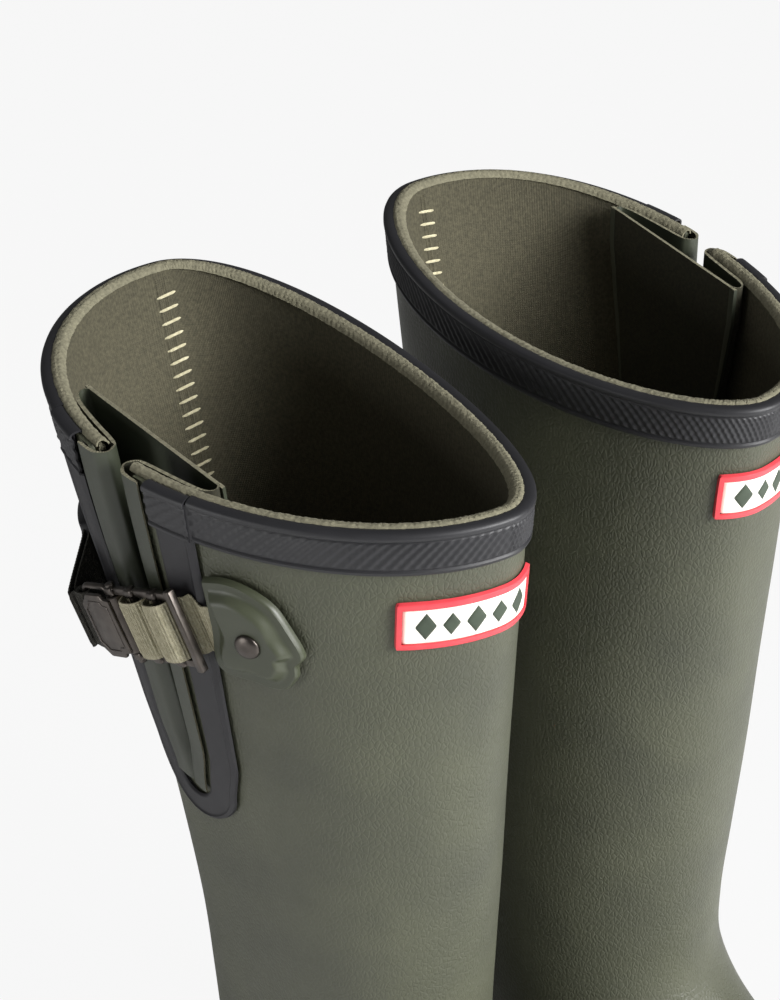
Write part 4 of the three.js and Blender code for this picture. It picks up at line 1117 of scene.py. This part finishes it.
def label_place(width, height, low, high, round_by):
    def place(s, t):
        a, b = 1 - 2 * s, 1 - 2 * t
        inset = np.minimum((1 - np.abs(a)) * width, (1 - np.abs(b)) * height) / 2
        corner = 1 - 0.02 * np.abs(a) ** 12 * np.abs(b) ** 12
        rise = low + (high - low) * np.sqrt(np.clip(inset / round_by, 0, 1))
        return on_label(a * width / 2 * corner, b * height / 2 * corner, rise)

    return place


def window(s, t):
    a, b = np.abs(2 * s - 1), np.abs(2 * t - 1)
    return (a < 1 - 2 * LABEL_BORDER / LABEL_WIDTH) & (b < 1 - 2 * LABEL_BORDER / LABEL_HEIGHT)


label_size = (LABEL_WIDTH, LABEL_HEIGHT)
border = laid("border", 94, 45, label_place(*label_size, 0.5, 1.75, 0.5), label_size, 0.9, window)
pair_up(border, "label_border", "boot", "label_red", (LABEL_RED,), "label_border")
face_size = (LABEL_WIDTH - 2 * LABEL_BORDER + 0.4, LABEL_HEIGHT - 2 * LABEL_BORDER + 0.4)
face = laid("face", 60, 20, label_place(*face_size, 0.8, 1.3, 0.3), face_size, 0.6)
pair_up(face, "label_face", "boot", "label_cream", (LABEL_CREAM,), "label_face")
lozenges = []
for k in range(5):
    middle = (k - 2) * 7.4
    size = (2.9, 4.2) if k % 2 else (3.4, 5.0)

    def lozenge(s, t, middle=middle, size=size):
        a, b = (1 - 2 * s), (1 - 2 * t)
        x, z = (a + b) / 2 * size[0] + middle, (b - a) / 2 * size[1]
        inset = np.minimum(1 - np.abs(a), 1 - np.abs(b))
        return on_label(x, z, 1.2 + 0.35 * np.clip(inset / 0.25, 0, 1))

    lozenges.append(laid(f"lozenge_{k}", 10, 10, lozenge, (4, 4), 0.3))
pair_up(joined("lozenges", *lozenges), "label_motif", "boot", "label_cream", (LABEL_MARK,))


# ---- patches of the foot
def patch(name, turns, rows, out, counts, rounded, arch):
    """A moulded layer on the wall: its edges are rounded, and its top may arch down to its sides."""
    middle, reach = sum(turns) / 2, abs(turns[1] - turns[0]) / 2

    def place(s, t):
        a = 1 - 2 * s
        top = rows[0] + arch * a * a
        row = top + (rows[1] - top) * t
        turn = middle + reach * a
        inset = np.minimum((1 - np.abs(a)) * reach * 0.9, np.minimum(t, 1 - t) * (rows[1] - rows[0]) * 12)
        edge = np.sqrt(np.clip(inset / rounded, 0, 1))
        return in_row(wall(turn, row, 0.1 + (out - 0.1) * edge))

    return laid(name, *counts, place, (2 * reach, 60), 0.5)


CAP_OUT = 1.9
STRIP_OUT = 1.5
FOOT_PATCHES = (
    # turns, rows, how far it stands out, its grid, its edge's radius and how far its top arches down
    ("toe_cap", (-44, 44), (13.05, 16.1), CAP_OUT, (90, 60), 1.6, 1.3),
    ("heel_patch", (138, 222), (12.1, 16.1), CAP_OUT, (80, 70), 1.6, 1.4),
    ("back_strip", (172.5, 187.5), (1.03, 12.4), STRIP_OUT, (14, 220), 1.0, 0.0),
)
for part, *shape in FOOT_PATCHES:
    pair_up(patch(part, *shape), part, *ON_OLIVE, part)


FOXING_TOP = 15.95
FOXING_ROWS = 1.95


def foxing_place(s, t):
    turn = 360 - 360 * s
    row = FOXING_TOP + t * FOXING_ROWS
    ribs = 0.35 * np.abs(np.sin(math.pi * t * 5)) * smooth(t, 0.1, 0.16) * (1 - smooth(t, 0.9, 0.96))
    edge = np.sqrt(np.clip(np.minimum(t, 1.02 - t) / 0.06, 0, 1))
    return in_row(wall(turn, row, 0.3 + 2.0 * edge + ribs))


pair_up(laid("foxing", 240, 40, foxing_place, (640, 20), 0.8, close=True), "foxing", *ON_CHARCOAL, "foxing")


SPUR_TOP = 17.1
SPUR_REACH = 27  # degrees to each side of the heel's middle


def spur_place(s, t):
    a = 1 - 2 * s
    turn = 180 + SPUR_REACH * a
    row = SPUR_TOP + 0.72 * t
    ledge = 4.4 * np.sqrt(np.clip(1 - np.abs(a) ** 4, 0, 1)) * np.sin(math.pi * np.clip(t, 0, 1)) ** 0.6
    teeth = 0.25 * np.cos(a * 60) * (ledge > 2)
    return in_row(wall(turn, row, 2.4 + ledge + teeth))


pair_up(laid("spur", 120, 16, spur_place, (55, 8), 0.8), "heel_spur", *ON_CHARCOAL, "heel_spur")

# ---- the sole and the footbed
SOLE_EDGE = 3.6
SOLE_PLATE = 6.5
WELT = (  # share down, how far out and how far down
    (0, -4, 0.3),
    (0.08, SOLE_EDGE - 0.4, 0.25),
    (0.2, SOLE_EDGE + 0.4, 1.0),
    (0.8, SOLE_EDGE + 0.3, SOLE_PLATE - 0.6),
    (0.92, SOLE_EDGE - 0.5, SOLE_PLATE + 0.05),
    (1, -6, SOLE_PLATE + 0.1),
)


def welt_place(s, t):
    """A rounded, grooved edge round the sole's plate."""
    turn = 360 - 360 * s
    at, out, drop = np.transpose(WELT)
    out, drop = np.interp(t, at, out), np.interp(t, at, drop)
    groove = -0.5 * np.exp(-(((t - 0.5) / 0.035) ** 2))
    made = wall(turn, LAST_ROW, out + groove)
    made[:, 2] = surface(turn, LAST_ROW)[:, 2] - drop
    return in_row(made)


welt = laid("welt", 240, 40, welt_place, (660, 10), close=True)
pair_up(welt, "sole_edge", *ON_SOLE)
cad_sole = frame["nodes"]["right_outsole"]
sole = cad_sole.copy()
sole.data = cad_sole.data.copy()
sole.parent = None
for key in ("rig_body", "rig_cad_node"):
    del sole[key]
bpy.context.scene.collection.objects.link(sole)
only(sole)
merge(1e-6)
edit(lambda: bpy.ops.mesh.dissolve_limited(angle_limit=math.radians(2)))
apply(sole, "BEVEL", width=0.7 * MM, segments=2, limit_method="ANGLE", angle_limit=math.radians(35))
shade(sole, 35)
pair_up(sole, "cleated_sole", *ON_SOLE, "outsole")

FOOTBED_TOP = 10.9
FOOTBED = 4
FOOTBED_INSET = 5.9


def footbed_place(s, t):
    turn = 360 * s
    rim = wall(turn, 17.25, np.full_like(s, -FOOTBED_INSET))
    ground = surface(turn, LAST_ROW)[:, 2]
    share = np.sqrt(np.clip(t, 0, 1))
    made = rim.copy()
    made[:, 0] = rim[:, 0] * share
    cup = 1.4 * share**6
    made[:, 2] = ground + FOOTBED_TOP - 0.6 + cup - 1.0 * smooth(share, 0.97, 1.0)
    return in_row(made)


footbed = laid("footbed", 120, 24, footbed_place, (240, 80), FOOTBED - 0.4, close=True)
pair_up(footbed, "footbed_cushion", "boot", "foam", (FOAM,), "footbed")
for side in SIDES:
    dress(frame["nodes"][f"{side}_insole_board"], BOARD)
    dress(frame["nodes"][f"{side}_shank"], STEEL)

# ---- studio
PAPER = "#f9f9f9"
FILL = 0.14  # of the world's light that reaches the boots; the backdrop itself looks white


def lit_and_seen(tree, lit, kind, output, strength):
    """Mixes what lights the scene with a plain white that the camera sees behind it."""
    seen = add(tree, kind, {"Color": colour(PAPER), "Strength": 1.0})
    path = add(tree, "ShaderNodeLightPath")
    factors = {0: path.outputs["Is Camera Ray"], 1: strength}
    share = add(tree, "ShaderNodeMath", factors, operation="MULTIPLY")
    mixed = add(tree, "ShaderNodeMixShader", {0: share.outputs["Value"], 1: lit, 2: seen.outputs[0]})
    tree.links.new(mixed.outputs["Shader"], tree.nodes[output].inputs["Surface"])


bpy.ops.mesh.primitive_plane_add(size=8)
floor = bpy.context.object
floor.name = "floor"
floor_material, floor_tree, floor_shader = material("matt_white_paper", PAPER, 0.9)
lit_and_seen(floor_tree, floor_shader.outputs["BSDF"], "ShaderNodeEmission", "Material Output", 0.97)
dress(floor, floor_material)

world = bpy.data.worlds.new("studio")
bpy.context.scene.world = world
world.use_nodes = True
backdrop = world.node_tree.nodes["Background"]
backdrop.inputs["Color"].default_value = colour(PAPER)
backdrop.inputs["Strength"].default_value = FILL
lit_and_seen(world.node_tree, backdrop.outputs[0], "ShaderNodeBackground", "World Output", 1.0)
bpy.context.scene.view_settings.view_transform = "Standard"


def softbox(name, spot, size, power):
    lamp = bpy.data.lights.new(name, "AREA")
    lamp.shape = "RECTANGLE"
    lamp.size, lamp.size_y = size
    lamp.energy = power
    made = bpy.data.objects.new(name, lamp)
    bpy.context.scene.collection.objects.link(made)
    made.location = spot
    made.rotation_euler = (Vector((0, 0, 0.3)) - Vector(spot)).to_track_quat("-Z", "Y").to_euler()


softbox("key", (-0.42, 1.15, 0.95), (0.7, 0.7), 39)
softbox("edge", (1.5, -0.25, 0.35), (0.5, 0.9), 7)
softbox("top", (-0.3, 0.3, 1.8), (0.8, 0.8), 2)

LENS = 77.3
EYE = (0.397, 0.389, 0.706)
GAZE = (-0.5336, -0.6708, -0.5150)
camera_data = bpy.data.cameras.new("camera")
camera_data.lens = LENS
camera_data.sensor_width = 36
camera = bpy.data.objects.new("camera", camera_data)
bpy.context.scene.collection.objects.link(camera)
camera.location = EYE
camera.rotation_euler = Vector(GAZE).to_track_quat("-Z", "Y").to_euler()
bpy.context.scene.camera = camera
